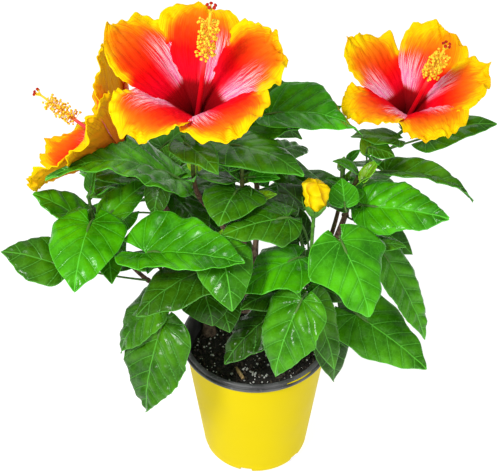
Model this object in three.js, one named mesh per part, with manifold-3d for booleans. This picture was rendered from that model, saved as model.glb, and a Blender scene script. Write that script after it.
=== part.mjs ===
// A tropical hibiscus shrub in its nursery pot: three stems, their boughs, the masses of leaves
// that the boughs carry, three open blooms and a furled bud. Millimetres, +Z up. The origin is
// the middle of the pot's flat underside, and the side that the blooms face is -Y.
import * as THREE from 'three';
import { mergeVertices } from 'three/addons/utils/BufferGeometryUtils.js';
import Module from 'manifold-3d';

const wasm = await Module();
wasm.setup();

// Clearances
const GAP = 0.3;
const SHORTEST_EDGE = 0.05;
const LEAF_CLEARANCE = 1.2;

// Pot
const POT_HEIGHT = 158;
const LIP_RADIUS = 77.5;
const BASE_RADIUS = 57;
const BASE_CORNER = 9;
const WALL = 1.8;
const FLOOR = 3;
const WALL_TOP = 150.5;
const WALL_TOP_RADIUS = 73.5;
const SOIL_TOP = 131;
const POT_SIDES = 36;
const RIM_WALL = 1.4;
const LIP_HEIGHT = 4;
const DRAIN_SLOTS = 6;
const DRAIN_WIDTH = 13;
const DRAIN_DEPTH = 16;
const DRAIN_HEIGHT = 4;
const DRAIN_FIRST_TURN = 0.335;

// Stems and boughs
const STEM_RADIUS = 5.2;
const STEM_FLARE = 3.2;
const FLARE_HEIGHT = 14;
const STEM_END_RADIUS = 2.7;
const BOUGH_RADIUS = 3;
const BOUGH_END_RADIUS = 2.3;
const TWIG_END_RADIUS = 1.5;
const CUTTER_SIZE = 60;

// Leaves
const LEAF_THICKNESS = 1.8;
const LEAF_ROWS = 5;
const LEAF_CROWDING = 1.3;
const LEAF_WIDEST = 0.62;
const LEAF_FULLNESS = 0.8;
const BASE_SHOULDER = 0.1;
const STALK_RADIUS = 1.15;
const STALK_SINK = 0.12;
const STALK_BEND = 0.4;
const STALK_FREE = 0.25;
const LONG_STALK = 36;

// Blooms
const PETAL_THICKNESS = 1.6;
const PETAL_CROWDING = 1.6;
const PETAL_LAP = 4;
const PETAL_ROOT_DROP = 2;
const PETAL_ROOT_WIDTH = 0.06;
const PETAL_SPREAD = 0.43;
const RIM_ROLL = 0.28;
const THROAT_RADIUS = 5;
const CALYX_LENGTH = 22;
const CALYX_RADIUS = 8;
const FLOWER_STALK_RADIUS = 1.7;
const CALYX_FOOT_RADIUS = 2.2;
const COLUMN_RADIUS = 3;
const COLUMN_TIP_RADIUS = 1.3;
const ANTHERS_AT = 0.68;
const ANTHERS_RADIUS = 8;
const ANTHERS_STRETCH = 2.3;
const STIGMAS = 5;
const STIGMA_SPREAD = 5;
const STIGMA_LENGTH = 3;
const STIGMA_ARM_RADIUS = 0.8;
const STIGMA_PAD_RADIUS = 1.6;
const BUD_CALYX_RADIUS = 9;
const BUD_CALYX_LENGTH = 13;

// How the leaves of a spiral differ from the foot of a shoot to its top, and from each other.
// Lengths are shares of the spiral's usual length, and angles are in degrees.
const HABIT = {
  turnStep: 137.5,
  turnSpread: 20,
  footSize: 1.05,
  sizeLoss: 0.4,
  leastSize: 0.85,
  sizeSpread: 0.3,
  leastWidth: 0.6,
  widthSpread: 0.1,
  stalkLength: 0.62,
  stalkLoss: 0.45,
  stalkLift: 5,
  stalkLiftGain: 45,
  footLift: -42,
  liftGain: 50,
  liftSpread: 16,
  rollSpread: 30,
  arch: 0.09,
  fold: -6,
  foldSpread: 12,
  furl: -4,
};

const LEAF_FINISH = { color: 0x2f8f1c, roughness: 0.38, metalness: 0 };
const BARK_FINISH = { color: 0x8a6f5c, roughness: 0.85, metalness: 0 };
const BLOOM_FINISH = { color: 0xff6a1e, roughness: 0.6, metalness: 0 };
const BUD_FINISH = { color: 0xf2d21c, roughness: 0.6, metalness: 0 };
const POT_FINISH = { color: 0xf3df00, roughness: 0.45, metalness: 0 };
const RIM_FINISH = { color: 0x3a3a3c, roughness: 0.5, metalness: 0 };
const SOIL_FINISH = { color: 0x1c1613, roughness: 0.95, metalness: 0 };

// The three stems come up through the soil. A path's points are [x, y, z]; the leafy shoot
// begins at the point numbered `enters` and ends at the one numbered `ends`.
const STEMS = {
  left: { path: [[-50, 30, 119], [-51, 28, 157], [-58, 18, 217], [-72, 8, 269], [-84, 5, 312],
    [-96, 10, 339], [-104, 14, 359]], enters: 4, ends: 6 },
  middle: { path: [[0, 14, 119], [-1, 12, 157], [-8, 2, 217], [-20, -10, 277], [-38, -18, 329],
    [-52, -22, 352], [-56, -36, 392], [-53, -48, 425]], enters: 4, ends: 7 },
  right: { path: [[46, 22, 119], [48, 20, 157], [60, 10, 217], [74, 4, 269], [84, 0, 312],
    [88, 0, 337], [95, 2, 359], [112, 20, 373]], enters: 4, ends: 7 },
};

// Boughs leave a stem at a share of its height. Their path runs on as the stem of a leafy shoot.
const BOUGHS = {
  left_low: { from: 'left', at: 0.35, path: [[-78, -8, 233], [-100, -28, 253],
    [-128, -30, 291], [-148, -30, 325], [-152, -28, 357]], enters: 2, ends: 5 },
  back_left: { from: 'left', at: 0.25, path: [[-72, 46, 217], [-90, 74, 245],
    [-102, 92, 275], [-108, 100, 307]], enters: 2, ends: 4 },
  front_left: { from: 'middle', at: 0.2, path: [[-25, -20, 212], [-55, -42, 257],
    [-78, -62, 289], [-92, -80, 325]], enters: 2, ends: 4 },
  front: { from: 'middle', at: 0.27, path: [[-14, -14, 233], [-22, -32, 269],
    [-32, -58, 303], [-38, -85, 333]], enters: 2, ends: 4 },
  high: { from: 'middle', at: 0.33, path: [[0, 18, 269], [0, 22, 337],
    [-5, 18, 372], [-10, 12, 402]], enters: 2, ends: 4 },
  centre: { from: 'middle', at: 0.42, path: [[-12, -20, 292], [-12, -28, 332],
    [-13, -30, 367], [-13, -30, 399]], enters: 2, ends: 4 },
  back: { from: 'middle', at: 0.24, path: [[0, 42, 232], [0, 72, 259],
    [2, 98, 287], [0, 112, 319]], enters: 2, ends: 4 },
  bud: { from: 'right', at: 0.33, path: [[46, -8, 235], [38, -25, 257],
    [46, -48, 289], [49, -60, 312]], enters: 2, ends: 4 },
  front_right: { from: 'right', at: 0.22, path: [[46, -10, 205], [42, -28, 229],
    [46, -55, 257], [44, -82, 285]], enters: 2, ends: 4 },
  right_low: { from: 'right', at: 0.28, path: [[64, -2, 217], [70, -10, 237],
    [82, -28, 269], [86, -50, 307]], enters: 2, ends: 4 },
  back_right: { from: 'right', at: 0.24, path: [[68, 44, 217], [82, 76, 241],
    [90, 100, 265], [92, 114, 293]], enters: 2, ends: 4 },
};

// The leaves that give each shoot its outline. Each row is: the share of the shoot where the
// stalk leaves it, the stalk's [length, turn, lift], the blade's [length, width, turn, lift],
// and its [roll, arch, fold, furl]. Angles are in degrees: turn is measured from +X towards +Y,
// lift from the level, and fold and furl raise both halves at the base and at the tip.
const LEAVES = {
  left_low: [
    [0.05, [99, -150, 33], [55, 47, 176, 15], [-22, 0.08, -8, -4]],
    [0.3, [14, 61, -22], [34, 28, -143, -1], [0, 0.06, 6, 6]],
    [0.5, [59, -113, 57], [70, 64, -97, -16], [0, 0.1, -12, -6]],
    [0.6, [35, 120, 3], [46, 28, 146, -15], [0, 0.06, 6, 6]],
    [0.66, [14, 180, 42], [58, 44, 178, 37], [-6, 0.05, 6, 8]],
    [0.7, [14, 45, 30], [54, 32, 45, 14], [16, 0.06, 12, 16]],
    [1, [6, 60, 50], [24, 16, 51, 70], [0, 0.03, 30, 30]],
  ],
  left: [
    [0.3, [14, -139, 40], [16, 18, -154, -7], [50, 0.05, 0, 0]],
    [0.8, [18, 29, 10], [28, 26, 73, 33], [0, 0.05, 8, 8]],
  ],
  middle: [
    [0.15, [46, 165, 16], [30, 26, -110, -60], [0, 0.05, 8, 8]],
    [0.3, [26, 159, 27], [118, 84, -160, 14], [0, 0.16, -10, 48]],
    [0.85, [31, -108, 55], [42, 34, -46, -13], [0, 0.08, 0, 0]],
  ],
  centre: [
    [0.5, [6, -40, 40], [28, 24, -114, -42], [35, 0.05, 0, 0]],
    [0.55, [10, -120, 10], [44, 55, -110, -8], [0, 0.1, -10, -5]],
    [0.62, [10, 166, 10], [34, 38, 166, 4], [20, 0.05, 0, 0]],
    [0.68, [10, 100, 20], [44, 39, 100, 8], [0, 0.05, 20, 20]],
    [0.75, [12, 28, 0], [34, 31, 28, -10], [0, 0.05, 10, 10]],
    [0.95, [31, -130, 60], [70, 54, -26, -8], [0, 0.1, -10, -6]],
  ],
  high: [
    [0.6, [29, 44, 51], [38, 31, -17, -16], [0, 0.05, 0, 0]],
    [0.8, [18, -147, 50], [97, 76, 8, 12], [14, 0.1, 32, 20]],
    [1, [34, -28, 44], [84, 64, -18, 2], [12, 0.12, 26, 18]],
  ],
  front_left: [
    [0.1, [35, -155, -5], [66, 52, -152, -48], [0, 0.1, -6, -4]],
    [0.2, [43, -125, -25], [97, 72, -124, -69], [0, 0.07, -4, 0]],
    [0.4, [22, 143, 20], [22, 18, 165, -23], [50, 0.05, 0, 0]],
    [1, [17, -133, 61], [96, 76, -22, 10], [8, 0.06, 34, 24]],
  ],
  front: [
    [0.1, [35, -136, -16], [30, 49, -71, -37], [0, 0.1, -8, -8]],
    [0.2, [31, -117, -50], [32, 39, -65, -40], [0, 0.1, -8, -8]],
    [0.75, [23, -132, 3], [68, 60, -152, -23], [0, 0.1, -6, -6]],
    [0.95, [28, -67, 47], [51, 50, -77, -39], [0, 0.12, -14, -8]],
  ],
  bud: [
    [0.4, [62, 86, 50], [36, 34, 142, 17], [0, 0.05, 10, 10]],
    [0.5, [28, 106, 59], [46, 36, 127, 47], [0, 0.06, 0, 0]],
    [0.6, [55, 131, 60], [40, 41, 139, 13], [0, 0.08, -14, -14]],
    [0.85, [27, -124, 42], [60, 67, -154, -18], [6, 0.08, -8, -10]],
    [0.85, [57, -175, 68], [64, 50, -154, 2], [-14, 0.06, -12, -8]],
  ],
  front_right: [
    [0.3, [34, -16, -40], [66, 38, -71, -69], [0, 0.06, -6, -4]],
    [0.4, [41, 171, -40], [66, 50, -151, -38], [0, 0.08, -8, -6]],
    [0.7, [20, -164, 41], [50, 44, -159, -7], [0, 0.08, -6, -6]],
    [0.8, [13, 67, 21], [38, 31, -9, -23], [0, 0.05, 0, 0]],
    [0.9, [12, -55, 4], [70, 34, -47, -63], [10, 0.06, -6, -4]],
    [1, [28, -100, 34], [75, 58, -127, -58], [0, 0.1, -12, -6]],
  ],
  right_low: [
    [0.1, [43, -51, -26], [86, 62, -26, -28], [20, 0.06, -4, -4]],
    [0.2, [46, -34, -50], [26, 26, 140, 9], [0, 0.05, 0, 0]],
    [0.7, [34, 13, 24], [113, 36, -25, -60], [24, 0.06, 4, 2]],
    [0.85, [51, 59, 7], [50, 36, -14, -35], [20, 0.05, 8, 8]],
    [0.95, [53, -113, 52], [71, 72, -57, -49], [0, 0.1, -10, -4]],
  ],
  right: [
    [0.2, [18, -101, 30], [22, 24, 180, 13], [0, 0.05, 8, 8]],
    [0.3, [25, -63, 14], [78, 54, -18, 3], [25, 0.07, 8, 4]],
    [0.4, [47, -104, 19], [26, 28, 96, 35], [0, 0.05, 0, 0]],
    [0.55, [35, 33, -8], [86, 36, -14, -10], [0, 0.14, 20, 34]],
    [0.62, [10, -74, 10], [24, 16, 35, 41], [0, 0.04, 30, 30]],
    [0.8, [26, -73, 70], [22, 24, -28, -11], [0, 0.05, 0, 0]],
    [0.9, [29, 16, 34], [48, 31, -165, 14], [0, 0.05, 0, 0]],
    [0.95, [70, 37, -8], [66, 38, -2, 17], [14, 0.08, 0, 0]],
  ],
};

// Leaves that follow a seeded spiral up a shoot: how many, the first one's turn, the blades'
// usual length, the seed, and the numbers of those that have fallen.
const SPIRALS = {
  left: { count: 9, turn: 100, length: 62, seed: 11, fallen: [] },
  back_left: { count: 15, turn: 60, length: 74, seed: 23, fallen: [4] },
  back: { count: 18, turn: 30, length: 76, seed: 37, fallen: [8, 13] },
  back_right: { count: 16, turn: 200, length: 68, seed: 41,
    fallen: [1, 2, 9, 10, 13, 15] },
  high: { count: 6, turn: 60, length: 66, seed: 53, fallen: [] },
  right: { count: 3, turn: 60, length: 56, seed: 67, fallen: [1] },
  right_low: { count: 6, turn: 20, length: 64, seed: 79, fallen: [0] },
  left_low: { count: 3, turn: 150, length: 50, seed: 83, fallen: [] },
  front_left: { count: 3, turn: 30, length: 50, seed: 97, fallen: [] },
};

// Blooms: where the petals spring from, the way the flower faces, the petals' reach, the depth
// of the funnel, the column's lean and length, and each petal's [turn, droop].
const BLOOMS = {
  main: { from: 'middle', at: [-50, -57, 463], axis: [0, -0.17, 0.985], reach: 78, depth: 50,
    column: [0.09, -0.12, 0.98], column_length: 104,
    petals: [[84, -6], [151, -18], [226, 21], [300, 8], [23, -4]] },
  right: { from: 'right', at: [140, 40, 402], axis: [0, -0.14, 0.99], reach: 70, depth: 42,
    column: [0.34, -0.3, 0.89], column_length: 88,
    petals: [[58, -14], [138, -14], [214, 15], [290, 14], [352, -8]] },
  left: { from: 'middle', leaves_at: 0.24, stalk: [[-70, -18, 361], [-89, -11, 363]],
    at: [-120, 0, 383], axis: [-0.8, 0.27, 0.54], reach: 78, depth: 42,
    column: [-0.83, 0.47, 0.38], column_length: 100,
    petals: [[90, -30], [32, 4], [-46, -10], [-126, -22], [160, -24]] },
};
const BUD = { from: 'bud', at: [50, -60, 359], axis: [0.05, -0.02, 1], length: 36, radius: 12 };

function vector([x, y, z]) {
  return new THREE.Vector3(x, y, z);
}

function direction(turn, lift) {
  const t = THREE.MathUtils.degToRad(turn);
  const l = THREE.MathUtils.degToRad(lift);
  return new THREE.Vector3(Math.cos(l) * Math.cos(t), Math.cos(l) * Math.sin(t), Math.sin(l));
}

// A repeatable stream of numbers from 0 to 1.
function seeded(seed) {
  let state = seed;
  return () => {
    state = (state * 1664525 + 1013904223) % 4294967296;
    return state / 4294967296;
  };
}

// A closed three.js geometry as a solid that can be joined and cut.
function solid(geometry) {
  const bare = geometry.clone();
  bare.deleteAttribute('normal');
  bare.deleteAttribute('uv');
  const merged = mergeVertices(bare, 1e-3);
  return new wasm.Manifold(new wasm.Mesh({
    numProp: 3,
    vertProperties: new Float32Array(merged.attributes.position.array),
    triVerts: new Uint32Array(merged.index.array),
  }));
}

function fuse(solids) {
  return wasm.Manifold.union(solids);
}

// A solid back as a three.js geometry, without the crumbs and slivers that a cut can leave.
function geometryOf(body) {
  const pieces = body.decompose();
  const largest = pieces.reduce((a, b) => (b.volume() > a.volume() ? b : a));
  const mesh = largest.simplify(SHORTEST_EDGE).getMesh();
  const geometry = new THREE.BufferGeometry();
  geometry.setAttribute('position', new THREE.BufferAttribute(mesh.vertProperties, 3));
  geometry.setIndex(new THREE.BufferAttribute(mesh.triVerts, 1));
  geometry.computeVertexNormals();
  return geometry;
}

// A limb along the stretch of a curve from share u0 to u1: a cylinder bent along it, its radius
// a function of the share of the stretch.
function limb(curve, u0, u1, radius, sides, steps) {
  const geometry = new THREE.CylinderGeometry(1, 1, 1, sides, steps);
  const rings = [];
  const across = new THREE.Vector3(1, 0, 0);
  for (let k = 0; k <= steps; k += 1) {
    const share = k / steps;
    const u = u0 + (u1 - u0) * share;
    const along = curve.getTangentAt(u);
    across.addScaledVector(along, -across.dot(along)).normalize();
    rings.push({
      centre: curve.getPointAt(u),
      across: across.clone(),
      rise: across.clone().cross(along),
      radius: radius(share),
    });
  }
  const places = geometry.attributes.position;
  for (let i = 0; i < places.count; i += 1) {
    const ring = rings[Math.round((places.getY(i) + 0.5) * steps)];
    const point = ring.centre.clone()
      .addScaledVector(ring.across, places.getX(i) * ring.radius)
      .addScaledVector(ring.rise, places.getZ(i) * ring.radius);
    places.setXYZ(i, point.x, point.y, point.z);
  }
  return solid(geometry);
}

function taper(start, end) {
  return (share) => start + (end - start) * share;
}

// The share of a curve's length at one of the points it was made from.
function shareAt(curve, index) {
  const lengths = curve.getLengths(200);
  return lengths[Math.round((200 * index) / (curve.points.length - 1))] / lengths[200];
}

// A thin body between two faces that meet at its edge. `place` gives the point at share s of
// its length, t from -1 to 1 across it, and side from -1 (lower face) to 1 (upper face).
function blade(columns, rows, place) {
  const geometry = new THREE.SphereGeometry(1, columns * 2, rows);
  const places = geometry.attributes.position;
  for (let i = 0; i < places.count; i += 1) {
    const s = Math.acos(THREE.MathUtils.clamp(places.getY(i), -1, 1)) / Math.PI;
    const waist = Math.sin(s * Math.PI);
    const t = waist > 1e-6 ? places.getX(i) / waist : 0;
    const side = waist > 1e-6 ? places.getZ(i) / waist : 0;
    const point = place(s, t, side);
    places.setXYZ(i, point.x, point.y, point.z);
  }
  return solid(geometry);
}

// A leaf's half width at a share of its length, as a share of its greatest half width.
function leafOutline(s) {
  return Math.sin(Math.PI * s ** LEAF_WIDEST) ** LEAF_FULLNESS;
}

// A point on a leaf blade. The midrib bows up from the chord by `arch` of the length, and the
// halves turn up from it by `fold` at the base and by `furl` at the tip.
function leafPoint(leaf, s, t, side, thickness) {
  const along = direction(leaf.turn, leaf.lift);
  const flat = direction(leaf.turn + 90, 0);
  const across = flat.clone().applyAxisAngle(along, THREE.MathUtils.degToRad(leaf.roll));
  const rise = along.clone().cross(across);
  const half = 0.5 * leaf.width * leafOutline(s);
  const angle = THREE.MathUtils.degToRad(leaf.fold + (leaf.furl - leaf.fold) * s);
  const back = BASE_SHOULDER * leaf.length * Math.abs(t) * (1 - s) ** 3;
  return leaf.base.clone()
    .addScaledVector(along, s * leaf.length - back)
    .addScaledVector(across, t * half * Math.cos(angle))
    .addScaledVector(rise, Math.abs(t) * half * Math.sin(angle)
      + 4 * leaf.arch * leaf.length * s * (1 - s)
      + 0.5 * side * thickness);
}

// A leaf on its stalk, both swollen by `extra` all round when it is only tested for clearance.
// The tested stalk starts free of the twig that it grows from.
function leafSolid(leaf, extra) {
  const along = direction(leaf.turn, leaf.lift);
  const inside = leafPoint(leaf, STALK_SINK, 0, 0, 0);
  const reach = leaf.base.distanceTo(leaf.root);
  const elbow = leaf.base.clone().addScaledVector(along, -STALK_BEND * reach);
  const curve = new THREE.QuadraticBezierCurve3(leaf.root, elbow, inside);
  const start = extra > 0 ? STALK_FREE : 0;
  const steps = reach > LONG_STALK ? 3 : 2;
  const stalk = limb(curve, start, 1, () => STALK_RADIUS + extra, 3, steps);
  const face = blade(2, LEAF_ROWS, (s, t, side) => (
    leafPoint(leaf, s ** LEAF_CROWDING, t, side, LEAF_THICKNESS + 2 * extra)
  ));
  return fuse([stalk, face]);
}

// One leaf from its row in the table, at home on its shoot.
function leafFromRow(shoot, [share, stalk, face, shape]) {
  const root = shoot.pointAt(share);
  const [stalkLength, stalkTurn, stalkLift] = stalk;
  const [length, width, turn, lift] = face;
  const [roll, arch, fold, furl] = shape;
  const base = root.clone().addScaledVector(direction(stalkTurn, stalkLift), stalkLength);
  return { root, base, length, width, turn, lift, roll, arch, fold, furl };
}

// The rows of a seeded spiral: turns a golden angle apart, low leaves level or hanging and
// long in the stalk, top leaves smaller and more upright.
function spiralRows({ count, turn, length, seed, fallen }) {
  const random = seeded(seed);
  const rows = [];
  for (let i = 0; i < count; i += 1) {
    const share = (i + 0.7) / count;
    const heading = turn + HABIT.turnStep * i + HABIT.turnSpread * (random() - 0.5);
    const grown = HABIT.footSize - HABIT.sizeLoss * share * share;
    const size = length * grown * (HABIT.leastSize + HABIT.sizeSpread * random());
    const stalkLength = HABIT.stalkLength * size * (1 - HABIT.stalkLoss * share);
    const width = size * (HABIT.leastWidth + HABIT.widthSpread * random());
    const lift = HABIT.footLift + HABIT.liftGain * share + HABIT.liftSpread * random();
    const roll = HABIT.rollSpread * (random() - 0.5);
    const fold = HABIT.fold + HABIT.foldSpread * random();
    if (!fallen.includes(i)) {
      const stalk = [stalkLength, heading, HABIT.stalkLift + HABIT.stalkLiftGain * share];
      rows.push([share, stalk, [size, width, heading, lift], [roll, HABIT.arch, fold, HABIT.furl]]);
    }
  }
  return rows;
}

// One petal of a bloom. It rises steeply out of the throat, opens into a broad round end that
// rolls back, and laps over the next petal along one side.
function petalPoint(bloom, frame, [turn, droop], s, t, side) {
  const reach = 1 - (1 - s) ** PETAL_CROWDING;
  const radial = THROAT_RADIUS + (bloom.reach - THROAT_RADIUS) * reach ** 1.15;
  const climb = (1 + RIM_ROLL) * reach ** 0.8 - RIM_ROLL * reach ** 4;
  const height = bloom.depth * climb - PETAL_ROOT_DROP - droop * reach ** 3;
  const spread = Math.sin(Math.PI * Math.min(reach, 0.999) ** 1.7) ** 0.6;
  const half = bloom.reach * (PETAL_ROOT_WIDTH + PETAL_SPREAD * spread);
  const angle = THREE.MathUtils.degToRad(turn);
  const out = frame.x.clone().multiplyScalar(Math.cos(angle))
    .addScaledVector(frame.y, Math.sin(angle));
  const sideways = frame.z.clone().cross(out);
  return vector(bloom.at)
    .addScaledVector(out, radial)
    .addScaledVector(sideways, t * half)
    .addScaledVector(frame.z, height + PETAL_LAP * t * reach + 0.5 * side * PETAL_THICKNESS);
}

function frameAlong(axis) {
  const z = vector(axis).normalize();
  const x = new THREE.Vector3(1, 0, 0).addScaledVector(z, -z.x).normalize();
  if (Math.abs(z.x) > 0.6) {
    x.set(0, -1, 0).addScaledVector(z, z.y).normalize();
  }
  return { x, y: z.clone().cross(x), z };
}

function straight(from, to) {
  return new THREE.LineCurve3(from, to);
}

function ball(radius, centre, along, stretch) {
  const geometry = new THREE.SphereGeometry(radius, 6, 4);
  geometry.scale(1, stretch, 1);
  geometry.applyQuaternion(new THREE.Quaternion().setFromUnitVectors(
    new THREE.Vector3(0, 1, 0), along));
  geometry.translate(centre.x, centre.y, centre.z);
  return solid(geometry);
}

// Column: a slender tube, the cloud of anthers on its upper third and five stigma pads.
function columnSolids(bloom, frame) {
  const at = vector(bloom.at);
  const along = vector(bloom.column).normalize();
  const start = at.clone().addScaledVector(frame.z, -COLUMN_RADIUS);
  const end = at.clone().addScaledVector(along, bloom.column_length);
  const middle = at.clone().addScaledVector(along, ANTHERS_AT * bloom.column_length);
  const side = frameAlong(along.toArray());
  const solids = [
    limb(straight(start, end), 0, 1, taper(COLUMN_RADIUS, COLUMN_TIP_RADIUS), 5, 2),
    ball(ANTHERS_RADIUS, middle, along, ANTHERS_STRETCH),
  ];
  for (let i = 0; i < STIGMAS; i += 1) {
    const angle = (2 * Math.PI * i) / STIGMAS;
    const fork = end.clone().addScaledVector(along, -STIGMA_LENGTH);
    const tip = end.clone().addScaledVector(along, STIGMA_LENGTH)
      .addScaledVector(side.x, STIGMA_SPREAD * Math.cos(angle))
      .addScaledVector(side.y, STIGMA_SPREAD * Math.sin(angle));
    solids.push(limb(straight(fork, tip), 0, 1, taper(STIGMA_ARM_RADIUS, STIGMA_PAD_RADIUS), 3, 1));
  }
  return solids;
}

// A calyx: a cup that widens from the flower's stalk and ends just above the petals' roots.
function calyxSolid(at, axis, length, radius) {
  const bottom = at.clone().addScaledVector(axis, -length);
  const top = at.clone().addScaledVector(axis, PETAL_ROOT_DROP);
  const widening = (share) => (
    CALYX_FOOT_RADIUS + (radius - CALYX_FOOT_RADIUS) * Math.min(1, 1.8 * share)
  );
  return limb(straight(bottom, top), 0, 1, widening, 7, 3);
}

// A flower's stalk, from its twig by way of the `lead` points into the foot of the calyx.
function flowerStalk(start, lead, calyxBottom, axis) {
  const points = [start, ...lead, calyxBottom.clone().addScaledVector(axis, 2 * FLOWER_STALK_RADIUS)];
  const curve = new THREE.CatmullRomCurve3(points);
  return limb(curve, 0, 1, () => FLOWER_STALK_RADIUS, 5, 5);
}

const hibiscus = new THREE.Group();

function addMesh(name, geometry, finish) {
  const mesh = new THREE.Mesh(geometry, new THREE.MeshStandardMaterial(finish));
  mesh.name = name;
  hibiscus.add(mesh);
}

// The pot's outer radius at a height on its straight flank.
function flank(z) {
  const share = (z - BASE_CORNER) / (WALL_TOP - BASE_CORNER);
  return BASE_RADIUS + (WALL_TOP_RADIUS - BASE_RADIUS) * share;
}

// Points of the rounded foot of a cup whose flank stands `inset` inside the pot's.
function footArc(inset, floor) {
  const points = [];
  const radius = BASE_CORNER - floor;
  for (let i = 0; i <= 3; i += 1) {
    const angle = (Math.PI / 2) * (i / 3);
    points.push([
      BASE_RADIUS - inset - radius * (1 - Math.sin(angle)),
      BASE_CORNER - radius * Math.cos(angle),
    ]);
  }
  return points;
}

function lathe(points, sides) {
  const profile = points.map(([radius, z]) => new THREE.Vector2(radius, z));
  const geometry = new THREE.LatheGeometry(profile, sides);
  geometry.rotateX(Math.PI / 2);
  return geometry;
}

function addPot() {
  const outer = [[0, 0], ...footArc(0, 0), [WALL_TOP_RADIUS, WALL_TOP]];
  const inner = [...footArc(WALL, FLOOR), [WALL_TOP_RADIUS - WALL, WALL_TOP]];
  let wall = solid(lathe([...outer, ...inner.reverse(), [0, FLOOR]], POT_SIDES));
  for (let i = 0; i < DRAIN_SLOTS; i += 1) {
    const slot = new THREE.BoxGeometry(DRAIN_DEPTH, DRAIN_WIDTH, 2 * DRAIN_HEIGHT);
    slot.translate(BASE_RADIUS, 0, 0);
    slot.rotateZ(DRAIN_FIRST_TURN + (2 * Math.PI * i) / DRAIN_SLOTS);
    wall = wall.subtract(solid(slot));
  }
  addMesh('pot_wall', geometryOf(wall), POT_FINISH);

  const collar = (z) => flank(z) - WALL - GAP;
  const collarFoot = SOIL_TOP + GAP;
  const rim = [
    [collar(collarFoot) - RIM_WALL, collarFoot],
    [collar(collarFoot), collarFoot],
    [collar(WALL_TOP), WALL_TOP + GAP],
    [LIP_RADIUS - 0.8, WALL_TOP + GAP],
    [LIP_RADIUS, WALL_TOP + 1.6],
    [LIP_RADIUS - 0.4, WALL_TOP + LIP_HEIGHT - 0.4],
    [LIP_RADIUS - 2.2, WALL_TOP + LIP_HEIGHT],
    [LIP_RADIUS - 2.8, WALL_TOP + LIP_HEIGHT + RIM_WALL],
    [LIP_RADIUS - 3.6, POT_HEIGHT - 0.4],
    [LIP_RADIUS - 5, POT_HEIGHT],
    [LIP_RADIUS - 6.2, POT_HEIGHT - 0.8],
    [collar(WALL_TOP) - RIM_WALL, WALL_TOP],
  ];
  addMesh('pot_rim', geometryOf(solid(lathe([...rim, rim[0]], POT_SIDES))), RIM_FINISH);

  const edge = flank(SOIL_TOP) - WALL - GAP;
  const soil = [[0, FLOOR + GAP], ...footArc(WALL + GAP, FLOOR + GAP), [edge, SOIL_TOP], [0, SOIL_TOP]];
  addMesh('potting_soil', geometryOf(solid(lathe(soil, POT_SIDES))), SOIL_FINISH);
}

// The solids that a new leaf has to stay clear of
const standing = [];

function touches(body) {
  const a = body.boundingBox();
  return standing.some(({ box, body: other }) => {
    const apart = [0, 1, 2].some((k) => a.max[k] < box.min[k] || a.min[k] > box.max[k]);
    return !apart && !body.intersect(other).isEmpty();
  });
}

function stand(body) {
  standing.push({ body, box: body.boundingBox() });
}

// Stem and bough solids, and the shoots that they run on into
const shoots = {};

function shootOf(name, curve, u0, u1) {
  return {
    name,
    curve,
    u0,
    u1,
    pointAt: (share) => curve.getPointAt(u0 + (u1 - u0) * share),
  };
}

// The twig that carries a shoot's leaves, swollen by `extra`.
function twigSolid(shoot, extra) {
  const start = shoot.u0 + GAP / shoot.curve.getLength();
  const firstRadius = STEMS[shoot.name] ? STEM_END_RADIUS : BOUGH_END_RADIUS;
  return limb(shoot.curve, start, shoot.u1, taper(firstRadius + extra, TWIG_END_RADIUS + extra), 6, 5);
}

// The space that a twig needs: the twig itself and the gap all round it and past its end.
function clearOf(shoot) {
  const end = shoot.pointAt(1);
  const onward = shoot.curve.getTangentAt(shoot.u1);
  const past = straight(
    end.clone().addScaledVector(onward, -TWIG_END_RADIUS),
    end.clone().addScaledVector(onward, GAP),
  );
  const cap = limb(past, 0, 1, () => TWIG_END_RADIUS + GAP, 6, 1);
  return fuse([twigSolid(shoot, GAP), cap]);
}

function addStem(name, { path, enters, ends }) {
  const curve = new THREE.CatmullRomCurve3(path.map(vector));
  const u0 = shareAt(curve, enters);
  const u1 = shareAt(curve, ends);
  const length = curve.getLength();
  const belowGround = SOIL_TOP + GAP - path[0][2];
  const radius = (share) => {
    const height = share * u0 * length - belowGround;
    const flare = STEM_FLARE * Math.exp(-Math.max(0, height) / FLARE_HEIGHT);
    return STEM_RADIUS + (STEM_END_RADIUS - STEM_RADIUS) * share + flare;
  };
  const ground = new THREE.BoxGeometry(CUTTER_SIZE, CUTTER_SIZE, CUTTER_SIZE);
  ground.translate(path[0][0], path[0][1], SOIL_TOP + GAP - CUTTER_SIZE / 2);
  const body = limb(curve, 0, u0, radius, 8, 12).subtract(solid(ground));
  const fat = limb(curve, 0, u0, (share) => radius(share) + GAP, 8, 12);
  stand(body);
  addMesh(`stem_${name}`, geometryOf(body), BARK_FINISH);
  shoots[name] = shootOf(name, curve, u0, u1);
  shoots[name].fat = fat;
}

function addBough(name, { from, at, path, enters, ends }) {
  const parent = shoots[from];
  const root = parent.curve.getPointAt(at);
  const curve = new THREE.CatmullRomCurve3([root, ...path.map(vector)]);
  const u0 = shareAt(curve, enters);
  const body = limb(curve, 0, u0, taper(BOUGH_RADIUS, BOUGH_END_RADIUS), 6, 6)
    .subtract(parent.fat);
  stand(body);
  addMesh(`bough_${name}`, geometryOf(body), BARK_FINISH);
  shoots[name] = shootOf(name, curve, u0, shareAt(curve, ends));
}

// A leafy shoot: its twig, the leaves of the table, then those of the spiral that have room.
function addFoliage(name) {
  const shoot = shoots[name];
  const twig = twigSolid(shoot, 0);
  stand(twig);
  const solids = [twig];
  for (const row of LEAVES[name] ?? []) {
    const leaf = leafFromRow(shoot, row);
    const body = leafSolid(leaf, 0);
    solids.push(body);
    stand(body);
  }
  return { node: `leaves_${name}`, shoot, solids };
}

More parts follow.
